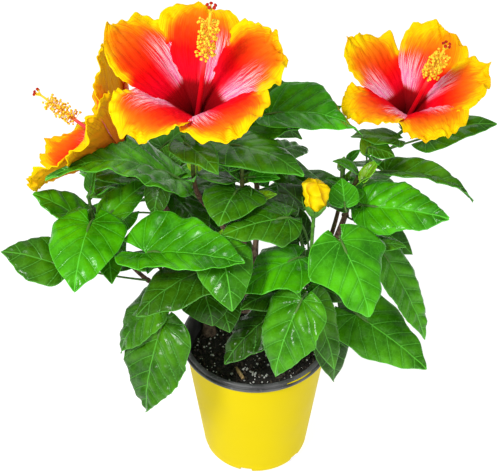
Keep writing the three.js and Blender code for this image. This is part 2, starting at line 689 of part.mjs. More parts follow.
function addSpiral(mass) {
  const spiral = SPIRALS[mass.shoot.name];
  if (!spiral) {
    return;
  }
  for (const row of spiralRows(spiral)) {
    const leaf = leafFromRow(mass.shoot, row);
    if (!touches(leafSolid(leaf, LEAF_CLEARANCE))) {
      const body = leafSolid(leaf, 0);
      mass.solids.push(body);
      stand(body);
    }
  }
}

function addBloom(name, bloom) {
  const frame = frameAlong(bloom.axis);
  const at = vector(bloom.at);
  const shoot = shoots[bloom.from];
  const calyxBottom = at.clone().addScaledVector(frame.z, -CALYX_LENGTH);
  const start = shoot.pointAt(bloom.leaves_at ?? 1);
  const lead = (bloom.stalk ?? []).map(vector);
  const stalk = flowerStalk(start, lead, calyxBottom, frame.z);
  const solids = [calyxSolid(at, frame.z, CALYX_LENGTH, CALYX_RADIUS), ...columnSolids(bloom, frame)];
  for (const petal of bloom.petals) {
    solids.push(blade(3, 5, (s, t, side) => petalPoint(bloom, frame, petal, s, t, side)));
  }
  const body = fuse([...solids, stalk]).subtract(clearOf(shoot));
  stand(body);
  addMesh(`bloom_${name}`, geometryOf(body), BLOOM_FINISH);
}

function addBud() {
  const axis = vector(BUD.axis).normalize();
  const at = vector(BUD.at);
  const shoot = shoots[BUD.from];
  const middle = at.clone().addScaledVector(axis, 0.55 * BUD.length);
  const calyxTop = at.clone().addScaledVector(axis, BUD_CALYX_LENGTH);
  const body = fuse([
    flowerStalk(shoot.pointAt(1), [], at, axis),
    calyxSolid(calyxTop, axis, BUD_CALYX_LENGTH, BUD_CALYX_RADIUS),
    ball(BUD.radius, middle, axis, (0.5 * BUD.length) / BUD.radius),
  ]).subtract(clearOf(shoot));
  stand(body);
  addMesh('bud_yellow', geometryOf(body), BUD_FINISH);
}

addPot();
for (const [name, stem] of Object.entries(STEMS)) {
  addStem(name, stem);
}
for (const [name, bough] of Object.entries(BOUGHS)) {
  addBough(name, bough);
}
for (const [name, bloom] of Object.entries(BLOOMS)) {
  addBloom(name, bloom);
}
addBud();
const masses = Object.keys(shoots).map(addFoliage);
for (const mass of masses) {
  addSpiral(mass);
}
for (const mass of masses) {
  addMesh(mass.node, geometryOf(fuse(mass.solids)), LEAF_FINISH);
}

export default hibiscus;
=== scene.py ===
# A tropical hibiscus shrub in its nursery pot, dressed around its solids: bark, twigs, toothed
# glossy leaves, ruffled blooms, a furled bud, potting mix and the pot. Sizes are millimetres
# until a mesh is made. +Z is up, and the blooms face -Y.
import math
from types import SimpleNamespace

import bpy
import numpy as np
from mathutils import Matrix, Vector, noise
from mathutils.bvhtree import BVHTree


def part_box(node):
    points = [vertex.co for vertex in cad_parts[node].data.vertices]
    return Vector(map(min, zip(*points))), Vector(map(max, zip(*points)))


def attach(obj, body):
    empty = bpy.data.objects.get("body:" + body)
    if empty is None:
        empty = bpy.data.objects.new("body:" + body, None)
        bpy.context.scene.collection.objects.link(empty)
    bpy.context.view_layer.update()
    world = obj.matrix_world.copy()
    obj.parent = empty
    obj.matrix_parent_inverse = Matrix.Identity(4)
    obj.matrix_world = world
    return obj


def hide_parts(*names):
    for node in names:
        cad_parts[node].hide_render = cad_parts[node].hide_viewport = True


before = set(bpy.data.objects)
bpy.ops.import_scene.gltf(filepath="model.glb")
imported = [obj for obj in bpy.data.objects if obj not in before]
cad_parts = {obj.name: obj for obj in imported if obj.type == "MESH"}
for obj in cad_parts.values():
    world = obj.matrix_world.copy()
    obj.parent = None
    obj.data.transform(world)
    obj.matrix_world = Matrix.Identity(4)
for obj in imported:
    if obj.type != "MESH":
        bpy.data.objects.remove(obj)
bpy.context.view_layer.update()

MM = 0.001

# Pot and potting mix
POT_HEIGHT = 158
LIP_RADIUS = 77.5
BASE_RADIUS = 57
BASE_CORNER = 9
WALL = 1.8
FLOOR = 3
WALL_TOP = 150.5
WALL_TOP_RADIUS = 73.5
RIM_WALL = 1.4
COLLAR_PLAY = 0.3
COLLAR_SINK = 4
SOIL_TOP = 131
SOIL_ROWS = 64
SOIL_SIDES = 220
CHIPS = 900
PERLITE_EVERY = 3
STRAW = dict(path=[[-21, -22, 131], [-17, -33, 134], [-13, -43, 136]], radii=[1.6, 2.0, 1.8])
POT_SIDES = 144
DRAIN_SLOTS = 6
DRAIN_WIDTH = 13
DRAIN_DEPTH = 16
DRAIN_HEIGHT = 9
DRAIN_FIRST_TURN = 0.335

# Stems and boughs
STEM_RADIUS = 5.2
STEM_FLARE = 3.2
FLARE_HEIGHT = 14
STEM_SINK = 3
STEM_END_RADIUS = 2.7
BOUGH_RADIUS = 3
BOUGH_COLLAR = 1.2
BOUGH_END_RADIUS = 2.3
TWIG_END_RADIUS = 1.5
TWIG_SIDES = 12
TWIG_STEP = 1.6
NODE_SWELLING = 0.4
BARK_SIDES = 22
BARK_STEP = 2.0
BARK_RELIEF = 0.035
LIMB_OVERLAP = 0.004

# Leaves
LEAF_THICKNESS = 0.5
LEAF_WIDEST = 0.62
LEAF_FULLNESS = 0.8
BASE_SHOULDER = 0.1
STALK_RADIUS = 1.05
STALK_SINK = 0.12
STALK_BEND = 0.4
STALK_SIDES = 7
MIDRIB_END = 0.94
MIDRIB_DEPTH = 0.55
ROW_PITCH = 1.7
ROWS = (14, 60)
COLUMN_PITCH = 2.1
HALF_COLUMNS = (3, 14)
TOOTH_PITCH = 8.5
TOOTH_LEAN = 0.75
TEETH_FROM = 0.12
TEETH_AHEAD = 10
LOBES_AHEAD = 14
LOBE_SHARES = (0.28, 0.36)
LOBE_LENGTH = 0.13
VEIN_PITCH = 17
VEIN_SLANT = 0.75
VEIN_ARCH = 1.0
PALM_STEP = 30
GROOVE_DEPTH = 0.7
GROOVE_WIDTH = 1.5
RELIEF = 0.45
# A blade puffs up fully between veins this far apart, on a leaf at least this long
PUFFED_PITCH = 9
PUFFED_LENGTH = 80
# As shares of the leaf's width, of its half width or of its length
WAVER = 0.018
RUFFLE = 0.075
CURL = 0.06
TWIST = 0.05
SAG = 0.06
# Where along the leaf its outline swells or narrows, and over what share of its length
SHOULDER = (0.1, 0.12)
WAIST = (0.62, 0.16)
TIP = (0.93, 0.09)
TIP_NARROWING = 0.18
# Spiral leaves, and the young leaves between them
GOLDEN_ANGLE = 137.5
SOLID_REACH = 3.5
SPIRAL_FORMS = ("toothed", "heart", "plain")
SPIRAL_TONES = ("mid", "fresh", "dark", "fresh", "mid")
YOUNG_LEAVES = 9
YOUNG_FROM = 0.25
YOUNG_ROOM = 3
YOUNG_TONES = ("lime", "fresh", "bright")

# Blooms
PETAL_THICKNESS = 0.6
PETAL_ROWS = 62
PETAL_COLUMNS = 61
PETAL_CROWDING = 1.6
PETAL_LAP = 4
PETAL_TRIM = 0.965
PETAL_ROOT_DROP = 2
PETAL_ROOT_WIDTH = 0.06
PETAL_SPREAD = 0.43
PETAL_RUFFLE = 3.4
FINE_RUFFLE = 1.5
PETAL_SCALLOP = 1.25
PETAL_PLEAT = 0.55
FINE_PLEAT = 0.4
PETAL_CUP = 0.10
PETAL_CLEARANCE = 5
PETAL_SHARING = 25
BEND_MARGIN = 18
RIM_ROLL = 0.28
THROAT_RADIUS = 5
CLAW = 0.1
CLAW_RADIUS = 2
CLAW_DEPTH = 8
CALYX_LENGTH = 22
CALYX_RADIUS = 7
CALYX_FOOT_RADIUS = 2.2
FLOWER_STALK_RADIUS = 1.6
COLUMN_RADIUS = 2.6
COLUMN_TIP_RADIUS = 1.0
ANTHERS = 116
ANTHERS_FROM = 0.56
ANTHERS_SPAN = 0.32
STIGMAS = 5
SEPALS = 5
BRACTS = 7
BUD_CALYX_LENGTH = 12
BUD_CALYX_RADIUS = 8.4
BUD_ROWS = 56
BUD_SIDES = 120
# The bud's width, as a share of its widest, at shares of its length
BUD_PROFILE = [(0, 0.16), (0.2, 0.6), (0.38, 0.9), (0.6, 1.0), (0.9, 1.0), (0.97, 0.72),
               (1.0, 0.06)]

# Studio, in metres
SENSOR_WIDTH = 36
LENS = 79.06
EYE = (-0.006, -0.820, 0.955)
EYE_TILT = 39.2
WORLD_STRENGTH = 0.41
FLOOR_HALF = 6
FLOOR_GLOW = 0.86
LIGHT_TARGET = (0, 0, 0.3)
LIGHTS = {
    "key": dict(place=(-0.75, -1.1, 1.7), size=0.4, power=27),
    "rear": dict(place=(0.1, 1.15, 1.3), size=1.0, power=4),
    "fill": dict(place=(0.5, -1.6, 0.8), size=1.4, power=7),
}

# The greens of the leaves, from old to young
# The darker tones are also painted shade for leaves in shade, and the brighter ones painted
# sunlight
TONES = {
    "deep": (0.016, 0.078, 0.002),
    "dark": (0.025, 0.125, 0.002),
    "mid": (0.035, 0.195, 0.002),
    "fresh": (0.042, 0.275, 0.002),
    "bright": (0.043, 0.370, 0.001),
    "lime": (0.200, 0.500, 0.006),
}
PALE_VEIN = (0.14, 0.46, 0.07)
# What sets a leaf's form apart: the depth of its teeth, how far its base reaches back past the
# stalk, how much its shoulders widen, its side lobes, the waist above them and its puckering.
FORMS = {
    "plain": dict(teeth=0.015, back=0.14, shoulder=0.10, lobe=0.0, waist=0.0, pucker=1.1),
    "toothed": dict(teeth=0.065, back=0.15, shoulder=0.12, lobe=0.0, waist=0.0, pucker=2.8),
    "heart": dict(teeth=0.02, back=0.26, shoulder=0.26, lobe=0.0, waist=0.05, pucker=1.7),
    "lobed": dict(teeth=0.02, back=0.20, shoulder=0.12, lobe=0.26, waist=0.22, pucker=1.5),
    "round": dict(teeth=0.0, back=0.08, shoulder=0.10, lobe=0.0, waist=-0.12, pucker=0.3),
}

# The habit of the leaves that follow a spiral up a shoot
HABIT = SimpleNamespace(
    turn_spread=20, foot_size=1.05, size_loss=0.4, least_size=0.85,
    size_spread=0.3, least_width=0.6, width_spread=0.1, stalk_length=0.62, stalk_loss=0.45,
    stalk_lift=5, stalk_lift_gain=45, foot_lift=-42, lift_gain=50, lift_spread=16,
    roll_spread=30, arch=0.09, fold=-6, fold_spread=12, furl=-4,
)

# A path's points are [x, y, z]. The leafy shoot begins at the point numbered STEM_ENTERS
# or BOUGH_ENTERS, counted from 0, where a bough's root on its stem is point 0.
STEM_ENTERS = 4
BOUGH_ENTERS = 2
STEMS = {
    "left": [[-50, 30, 119], [-51, 28, 157], [-58, 18, 217], [-72, 8, 269], [-84, 5, 312],
             [-96, 10, 339], [-104, 14, 359]],
    "middle": [[0, 14, 119], [-1, 12, 157], [-8, 2, 217], [-20, -10, 277], [-38, -18, 329],
               [-52, -22, 352], [-56, -36, 392], [-53, -48, 425]],
    "right": [[46, 22, 119], [48, 20, 157], [60, 10, 217], [74, 4, 269], [84, 0, 312],
              [88, 0, 337], [95, 2, 359], [112, 20, 373]],
}
BOUGHS = {
    "left_low": dict(stem="left", at=0.35, path=[[-78, -8, 233], [-100, -28, 253],
                     [-128, -30, 291], [-148, -30, 325], [-152, -28, 357]]),
    "back_left": dict(stem="left", at=0.25, path=[[-72, 46, 217], [-90, 74, 245],
                      [-102, 92, 275], [-108, 100, 307]]),
    "front_left": dict(stem="middle", at=0.2, path=[[-25, -20, 212], [-55, -42, 257],
                       [-78, -62, 289], [-92, -80, 325]]),
    "front": dict(stem="middle", at=0.27, path=[[-14, -14, 233], [-22, -32, 269],
                  [-32, -58, 303], [-38, -85, 333]]),
    "high": dict(stem="middle", at=0.33, path=[[0, 18, 269], [0, 22, 337], [-5, 18, 372],
                 [-10, 12, 402]]),
    "centre": dict(stem="middle", at=0.42, path=[[-12, -20, 292], [-12, -28, 332],
                   [-13, -30, 367], [-13, -30, 399]]),
    "back": dict(stem="middle", at=0.24, path=[[0, 42, 232], [0, 72, 259], [2, 98, 287],
                 [0, 112, 319]]),
    "bud": dict(stem="right", at=0.33, path=[[46, -8, 235], [38, -25, 257], [46, -48, 289],
                [49, -60, 312]]),
    "front_right": dict(stem="right", at=0.22, path=[[46, -10, 205], [42, -28, 229],
                        [46, -55, 257], [44, -82, 285]]),
    "right_low": dict(stem="right", at=0.28, path=[[64, -2, 217], [70, -10, 237],
                      [82, -28, 269], [86, -50, 307]]),
    "back_right": dict(stem="right", at=0.24, path=[[68, 44, 217], [82, 76, 241],
                       [90, 100, 265], [92, 114, 293]]),
}

# The leaves that give each shoot its outline. Each row is: the share of the shoot where the
# stalk leaves it, the stalk's [length, turn, lift], the blade's [length, width, turn, lift], its
# [roll, arch, fold, furl] in degrees but for the arch, its form and its tone.
LEAVES = {
    "left_low": [
        [0.05, [99, -150, 33], [55, 47, 176, 15], [-22, 0.08, -8, -4], "toothed", "mid"],
        [0.3, [14, 61, -22], [34, 28, -143, -1], [0, 0.06, 6, 6], "plain", "dark"],
        [0.5, [59, -113, 57], [70, 64, -97, -16], [0, 0.1, -12, -6], "heart", "bright"],
        [0.6, [35, 120, 3], [46, 28, 146, -15], [0, 0.06, 6, 6], "plain", "dark"],
        [0.66, [14, 180, 42], [58, 44, 178, 37], [-6, 0.05, 6, 8], "toothed", "fresh"],
        [0.7, [14, 45, 30], [54, 32, 45, 14], [16, 0.06, 12, 16], "toothed", "fresh"],
        [1, [6, 60, 50], [24, 16, 51, 70], [0, 0.03, 30, 30], "plain", "fresh"],
    ],
    "left": [
        [0.3, [14, -139, 40], [16, 18, -154, -7], [50, 0.05, 0, 0], "plain", "dark"],
        [0.8, [18, 29, 10], [28, 26, 73, 33], [0, 0.05, 8, 8], "plain", "mid"],
    ],
    "middle": [
        [0.15, [46, 165, 16], [30, 26, -110, -60], [0, 0.05, 8, 8], "plain", "dark"],
        [0.3, [26, 159, 27], [118, 84, -160, 14], [0, 0.16, -10, 48], "toothed", "fresh"],
        [0.85, [31, -108, 55], [42, 34, -46, -13], [0, 0.08, 0, 0], "heart", "mid"],
    ],
    "centre": [
        [0.5, [6, -40, 40], [28, 24, -114, -42], [35, 0.05, 0, 0], "plain", "dark"],
        [0.55, [10, -120, 10], [44, 55, -110, -8], [0, 0.1, -10, -5], "heart", "mid"],
        [0.62, [10, 166, 10], [34, 38, 166, 4], [20, 0.05, 0, 0], "plain", "mid"],
        [0.68, [10, 100, 20], [44, 39, 100, 8], [0, 0.05, 20, 20], "plain", "deep"],
        [0.75, [12, 28, 0], [34, 31, 28, -10], [0, 0.05, 10, 10], "plain", "deep"],
        [0.95, [31, -130, 60], [70, 54, -26, -8], [0, 0.1, -10, -6], "heart", "fresh"],
    ],
    "high": [
        [0.6, [29, 44, 51], [38, 31, -17, -16], [0, 0.05, 0, 0], "plain", "mid"],
        [0.8, [18, -147, 50], [97, 76, 8, 12], [14, 0.1, 32, 20], "toothed", "fresh"],
        [1, [34, -28, 44], [84, 64, -18, 2], [12, 0.12, 26, 18], "toothed", "bright"],
    ],
    "front_left": [
        [0.1, [35, -155, -5], [66, 52, -152, -48], [0, 0.1, -6, -4], "toothed", "mid"],
        [0.2, [43, -125, -25], [97, 72, -124, -69], [0, 0.07, -4, 0], "toothed", "mid"],
        [0.4, [22, 143, 20], [22, 18, 165, -23], [50, 0.05, 0, 0], "plain", "dark"],
        [1, [17, -133, 61], [96, 76, -22, 10], [8, 0.06, 34, 24], "heart", "bright"],
    ],
    "front": [
        [0.1, [35, -136, -16], [30, 49, -71, -37], [0, 0.1, -8, -8], "heart", "dark"],
        [0.2, [31, -117, -50], [32, 39, -65, -40], [0, 0.1, -8, -8], "heart", "dark"],
        [0.75, [23, -132, 3], [68, 60, -152, -23], [0, 0.1, -6, -6], "heart", "dark"],
        [0.95, [28, -67, 47], [51, 50, -77, -39], [0, 0.12, -14, -8], "heart", "fresh"],
    ],
    "bud": [
        [0.4, [62, 86, 50], [36, 34, 142, 17], [0, 0.05, 10, 10], "plain", "deep"],
        [0.5, [28, 106, 59], [46, 36, 127, 47], [0, 0.06, 0, 0], "plain", "deep"],
        [0.6, [55, 131, 60], [40, 41, 139, 13], [0, 0.08, -14, -14], "lobed", "dark"],
        [0.85, [27, -124, 42], [60, 67, -154, -18], [6, 0.08, -8, -10], "lobed", "bright"],
        [0.85, [57, -175, 68], [64, 50, -154, 2], [-14, 0.06, -12, -8], "lobed", "mid"],
    ],
    "front_right": [
        [0.3, [34, -16, -40], [66, 38, -71, -69], [0, 0.06, -6, -4], "plain", "dark"],
        [0.4, [41, 171, -40], [66, 50, -151, -38], [0, 0.08, -8, -6], "toothed", "deep"],
        [0.7, [20, -164, 41], [50, 44, -159, -7], [0, 0.08, -6, -6], "heart", "dark"],
        [0.8, [13, 67, 21], [38, 31, -9, -23], [0, 0.05, 0, 0], "plain", "deep"],
        [0.9, [12, -55, 4], [70, 34, -47, -63], [10, 0.06, -6, -4], "heart", "mid"],
        [1, [28, -100, 34], [75, 58, -127, -58], [0, 0.1, -12, -6], "toothed", "fresh"],
    ],
    "right_low": [
        [0.1, [43, -51, -26], [86, 62, -26, -28], [20, 0.06, -4, -4], "heart", "fresh"],
        [0.2, [46, -34, -50], [26, 26, 140, 9], [0, 0.05, 0, 0], "plain", "dark"],
        [0.7, [34, 13, 24], [113, 36, -25, -60], [24, 0.06, 4, 2], "toothed", "fresh"],
        [0.85, [51, 59, 7], [50, 36, -14, -35], [20, 0.05, 8, 8], "plain", "mid"],
        [0.95, [53, -113, 52], [71, 72, -57, -49], [0, 0.1, -10, -4], "lobed", "bright"],
    ],
    "right": [
        [0.2, [18, -101, 30], [22, 24, 180, 13], [0, 0.05, 8, 8], "plain", "dark"],
        [0.3, [25, -63, 14], [78, 54, -18, 3], [25, 0.07, 8, 4], "toothed", "bright"],
        [0.4, [47, -104, 19], [26, 28, 96, 35], [0, 0.05, 0, 0], "round", "bright"],
        [0.55, [35, 33, -8], [86, 36, -14, -10], [0, 0.14, 20, 34], "toothed", "mid"],
        [0.62, [10, -74, 10], [24, 16, 35, 41], [0, 0.04, 30, 30], "plain", "lime"],
        [0.8, [26, -73, 70], [22, 24, -28, -11], [0, 0.05, 0, 0], "plain", "mid"],
        [0.9, [29, 16, 34], [48, 31, -165, 14], [0, 0.05, 0, 0], "plain", "mid"],
        [0.95, [70, 37, -8], [66, 38, -2, 17], [14, 0.08, 0, 0], "heart", "fresh"],
    ],
}

# New leaves too small to matter to the solids, in rows like those above
NEW_LEAVES = {
    "right": [
        [0.3, [14, -24, 46], [29, 15, -60, 63], [10, 0.06, 34, 26], "plain", "lime"],
        [0.02, [11, -22, -14], [25, 11, -80, 82], [0, 0.05, 44, 40], "plain", "bright"],
        [0.02, [11, -22, -14], [22, 10, -20, 74], [20, 0.05, 44, 40], "plain", "lime"],
        [0.02, [11, -22, -14], [20, 9, -150, 72], [-20, 0.05, 44, 40], "plain", "fresh"],
    ],
}
STUB = dict(shoot="right", share=0.1, path=[[79, -2, 350], [77.8, -3, 374]], radius=1.5)

# Leaves that follow a seeded spiral up a shoot. `fallen` numbers those that have dropped.
SPIRALS = {
    "left": dict(count=9, turn=100, length=62, seed=11),
    "back_left": dict(count=15, turn=60, length=74, seed=23, fallen=[4]),
    "back": dict(count=18, turn=30, length=76, seed=37, fallen=[8, 13]),
    "back_right": dict(count=16, turn=200, length=68, seed=41, fallen=[1, 2, 9, 10, 13, 15]),
    "high": dict(count=6, turn=60, length=66, seed=53),
    "right": dict(count=3, turn=60, length=56, seed=67, fallen=[1]),
    "right_low": dict(count=6, turn=20, length=64, seed=79, fallen=[0]),
    "left_low": dict(count=3, turn=150, length=50, seed=83),
    "front_left": dict(count=3, turn=30, length=50, seed=97),
}

# Blooms: where the petals spring from, the way the flower faces, the petals' reach, the depth of
# the funnel, the column's lean and length, the side of each petal that carries the pale streaks,
# how far the colours have paled towards the eye, and each petal's [turn, droop].
BLOOMS = {
    "main": SimpleNamespace(
        shoot="middle", leaves_at=1, lead=[], at=[-50, -57, 463], axis=[0, -0.17, 0.985],
        reach=78, depth=50, column=[0.14, -0.11, 0.98], column_length=104, streaks=-1, paled=1.0,
        seed=3, petals=[[84, -6], [151, -18], [226, 21], [300, 8], [23, -4]]),
    "right": SimpleNamespace(
        shoot="right", leaves_at=1, lead=[], at=[140, 40, 402], axis=[0, -0.14, 0.99], reach=70,
        depth=42, column=[0.25, -0.24, 0.9], column_length=88, streaks=1, paled=1.16, seed=5,
        petals=[[58, -14], [138, -14], [214, 15], [290, 14], [352, -8]]),
    "left": SimpleNamespace(
        shoot="middle", leaves_at=0.24, lead=[[-70, -18, 361], [-89, -11, 363]],
        at=[-120, 0, 383], axis=[-0.8, 0.27, 0.54], reach=78, depth=42,
        column=[-0.83, 0.47, 0.38], column_length=100, streaks=-1, paled=1.0, seed=8,
        petals=[[90, -30], [32, 4], [-46, -10], [-126, -22], [160, -24]]),
}
BUD = SimpleNamespace(shoot="bud", at=[50, -60, 359], axis=[0.05, -0.02, 1], length=36, radius=10.8)


def unit(v):
    v = np.asarray(v, float)
    return v / np.linalg.norm(v, axis=-1, keepdims=True)


def between(start, end, share):
    return start + (end - start) * share


def smooth(x, low, high):
    x = np.clip((x - low) / (high - low), 0, 1)
    return x * x * (3 - 2 * x)


def bell(x, centre, width):
    return np.exp(-((x - centre) / width) ** 2)


def ring(sides):
    """Angles spaced evenly round a circle."""
    return np.linspace(0, 2 * math.pi, sides, endpoint=False)


def direction(turn, lift):
    turn, lift = math.radians(turn), math.radians(lift)
    return np.array([math.cos(lift) * math.cos(turn), math.cos(lift) * math.sin(turn),
                     math.sin(lift)])


def turned(v, axis, degrees):
    a = math.radians(degrees)
    return v * math.cos(a) + np.cross(axis, v) * math.sin(a) + axis * (axis @ v) * (1 - math.cos(a))


def spoke(x, y, angle):
    """The first turned towards the second by an angle."""
    return x * math.cos(angle) + y * math.sin(angle)


def frame_along(axis):
    """Three axes at right angles, the last along the one given."""
    z = unit(axis)
    guide = np.array([0.0, -1, 0]) if abs(z[0]) > 0.6 else np.array([1.0, 0, 0])
    x = unit(guide - (guide @ z) * z)
    return x, np.cross(z, x), z


def laid_out(points, amounts, axes):
    """Points moved by amounts along axes."""
    for amount, axis in zip(amounts, axes):
        points = points + amount[..., None] * axis
    return points


def seeded(seed):
    """A repeatable stream of numbers from 0 to 1."""
    state = seed
    while True:
        state = (state * 1664525 + 1013904223) % 4294967296
        yield state / 4294967296


def ripples(u, v, random, shortest, longest, count=7):
    """Smooth random relief over a sheet whose places u and v are in millimetres."""
    total = 0
    for _ in range(count):
        k = 2 * math.pi / random.uniform(shortest, longest)
        a, phase = random.uniform(0, 2 * math.pi, 2)
        total = total + np.sin(k * spoke(u, v, a) + phase)
    return total / math.sqrt(count)


class Curve:
    """A centripetal Catmull-Rom curve through points, read by its share of length."""

    STEPS = 40

    def __init__(self, points):
        p = np.array(points, float)
        p = np.vstack([2 * p[0] - p[1], p, 2 * p[-1] - p[-2]])
        gaps = np.sqrt(np.linalg.norm(np.diff(p, axis=0), axis=1))
        w = np.linspace(0, 1, self.STEPS, endpoint=False)[:, None]
        line = []
        for i in range(len(p) - 3):
            a, b, c, d = p[i:i + 4]
            g0, g1, g2 = gaps[i:i + 3]
            leave = g1 * ((b - a) / g0 - (c - a) / (g0 + g1) + (c - b) / g1)
            arrive = g1 * ((c - b) / g1 - (d - b) / (g1 + g2) + (d - c) / g2)
            line.append(b + leave * w + (3 * (c - b) - 2 * leave - arrive) * w ** 2
                        + (2 * (b - c) + leave + arrive) * w ** 3)
        self.line = np.vstack(line + [p[-2:-1]])
        steps = np.linalg.norm(np.diff(self.line, axis=0), axis=1)
        self.reach = np.concatenate([[0], np.cumsum(steps)])
        self.length = self.reach[-1]

    def at(self, share):
        d = np.asarray(share) * self.length
        return np.stack([np.interp(d, self.reach, places) for places in self.line.T], -1)


class Shoot(Curve):
    """A stem or bough, whose leafy shoot runs from one of its points to its end."""

    def __init__(self, points, enters):
        super().__init__(points)
        self.start = self.reach[enters * self.STEPS] / self.length

    def leafy(self, share):
        """A place on the leafy shoot, by its share of that shoot's length."""
        return self.at(between(self.start, 1, share))


def grid(rows, columns, closed=False):
    """Corner numbers of the quads of a grid, whose columns may close into a ring."""
    i, j = np.meshgrid(np.arange(rows - 1), np.arange(columns if closed else columns - 1),
                       indexing="ij")
    k = (j + 1) % columns
    return np.stack([i * columns + j, (i + 1) * columns + j, (i + 1) * columns + k,
                     i * columns + k], -1).reshape(-1, 4)


def capped(rows, sides):
    """Faces of a body of rings whose first and last rings are filled."""
    first = np.arange(sides)[None]
    return [grid(rows, sides, True)[:, ::-1], first[:, ::-1], first + (rows - 1) * sides]


def sheet(points, thickness):
    """A closed thin body round a grid of points: its points, and faces above, below and round."""
    rows, columns = points.shape[:2]
    normal = unit(np.cross(np.gradient(points, axis=0), np.gradient(points, axis=1)))
    above, below = (
        (points + side * 0.5 * thickness * normal).reshape(-1, 3) for side in (1, -1))
    n = rows * columns
    top = grid(rows, columns)
    number = np.arange(n).reshape(rows, columns)
    rim = np.concatenate([number[0, :-1], number[:-1, -1], number[-1, :0:-1], number[:0:-1, 0]])
    after = np.roll(rim, -1)
    edge = np.stack([rim, after, after + n, rim + n], -1)
    return np.concatenate([above, below]), [top, top[:, ::-1] + n, edge]


def both_sides(points, **fields):
    """Numbers over a grid of points, once for each side of its sheet."""
    return {name: np.tile(np.broadcast_to(field, points.shape[:2]).ravel(), 2)
            for name, field in fields.items()}


def tube(points, radii, sides, relief=0.0):
    """A closed body round a line. `relief` is added to the radius at each ring and side."""
    points = np.asarray(points, float)
    along = unit(np.gradient(points, axis=0))
    guide = np.array([1.0, 0, 0]) if abs(along[0][0]) < 0.9 else np.array([0, 1.0, 0])
    across = np.empty_like(points)
    for k, heading in enumerate(along):
        guide = unit(guide - (guide @ heading) * heading)
        across[k] = guide
    rise = np.cross(along, across)
    turn = ring(sides)[:, None]
    spokes = across[:, None] * np.cos(turn) + rise[:, None] * np.sin(turn)
    radius = np.broadcast_to(radii, (len(points),))[:, None] + relief
    places = points[:, None] + spokes * np.broadcast_to(radius, spokes.shape[:2])[..., None]
    return places.reshape(-1, 3), capped(len(points), sides)


def ball(centre, radius, rings, sides, stretch, along):
    """A round body, stretched along an axis."""
    h = np.cos(np.linspace(0, math.pi, rings + 1))
    line = np.asarray(centre) - np.outer(h, unit(along)) * radius * stretch
    return tube(line, radius * np.sqrt(np.maximum(1 - h * h, 0.003)), sides)


def lathe(profile, sides):
    """A body turned round the Z axis from [radius, height] points."""
    radius, height = np.array(profile, float).T[..., None]
    turn = ring(sides)
    places = np.broadcast_arrays(radius * np.cos(turn), radius * np.sin(turn), height)
    return np.stack(places, -1).reshape(-1, 3)


def outward(body):
    """The body with its faces turned so that they look out."""
    points, faces = body
    volume = 0.0
    for part in faces:
        a = points[part[:, 0]]
        for k in range(1, part.shape[1] - 1):
            volume += np.einsum("ij,ij->", a, np.cross(points[part[:, k]], points[part[:, k + 1]]))
    return body if volume > 0 else (points, [part[:, ::-1] for part in faces])


class Piece:
    """Bodies gathered into one mesh, with numbers kept at each point for the materials."""

    def __init__(self, name, materials, fields=()):
        self.name, self.materials = name, materials
        self.points, self.faces, self.looks = [], [], []
        self.fields = {field: [] for field in fields}
        self.count = 0

    def add(self, body, looks=0, **fields):
        points, faces = body
        for part, look in zip(faces, np.broadcast_to(looks, (len(faces),))):
            self.faces.append(part + self.count)
            self.looks.append(np.full(len(part), look))
        for field, kept in self.fields.items():
            kept.append(np.broadcast_to(fields[field], (len(points),)))
        self.points.append(points)
        self.count += len(points)

    def make(self, slot, replaced=()):
        mesh = bpy.data.meshes.new(self.name)
        mesh.vertices.add(self.count)
        places = np.concatenate(self.points) * MM
        mesh.vertices.foreach_set("co", places.astype(np.float32).ravel())
        corners = np.concatenate([part.ravel() for part in self.faces])
        sizes = np.concatenate([np.full(len(part), part.shape[1]) for part in self.faces])
        mesh.loops.add(len(corners))
        mesh.loops.foreach_set("vertex_index", corners.astype(np.int32))
        mesh.polygons.add(len(sizes))
        mesh.polygons.foreach_set("loop_start", (np.cumsum(sizes) - sizes).astype(np.int32))
        mesh.polygons.foreach_set("material_index", np.concatenate(self.looks).astype(np.int32))
        mesh.update(calc_edges=True)
        mesh.shade_smooth()
        for field, kept in self.fields.items():
            attribute = mesh.attributes.new(field, "FLOAT", "POINT")
            attribute.data.foreach_set("value", np.concatenate(kept).astype(np.float32))
        for material in self.materials:
            mesh.materials.append(material)
        piece = bpy.data.objects.new(self.name, mesh)
        bpy.context.scene.collection.objects.link(piece)
        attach(piece, "root")
        if replaced:
            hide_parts(*replaced)
        return piece


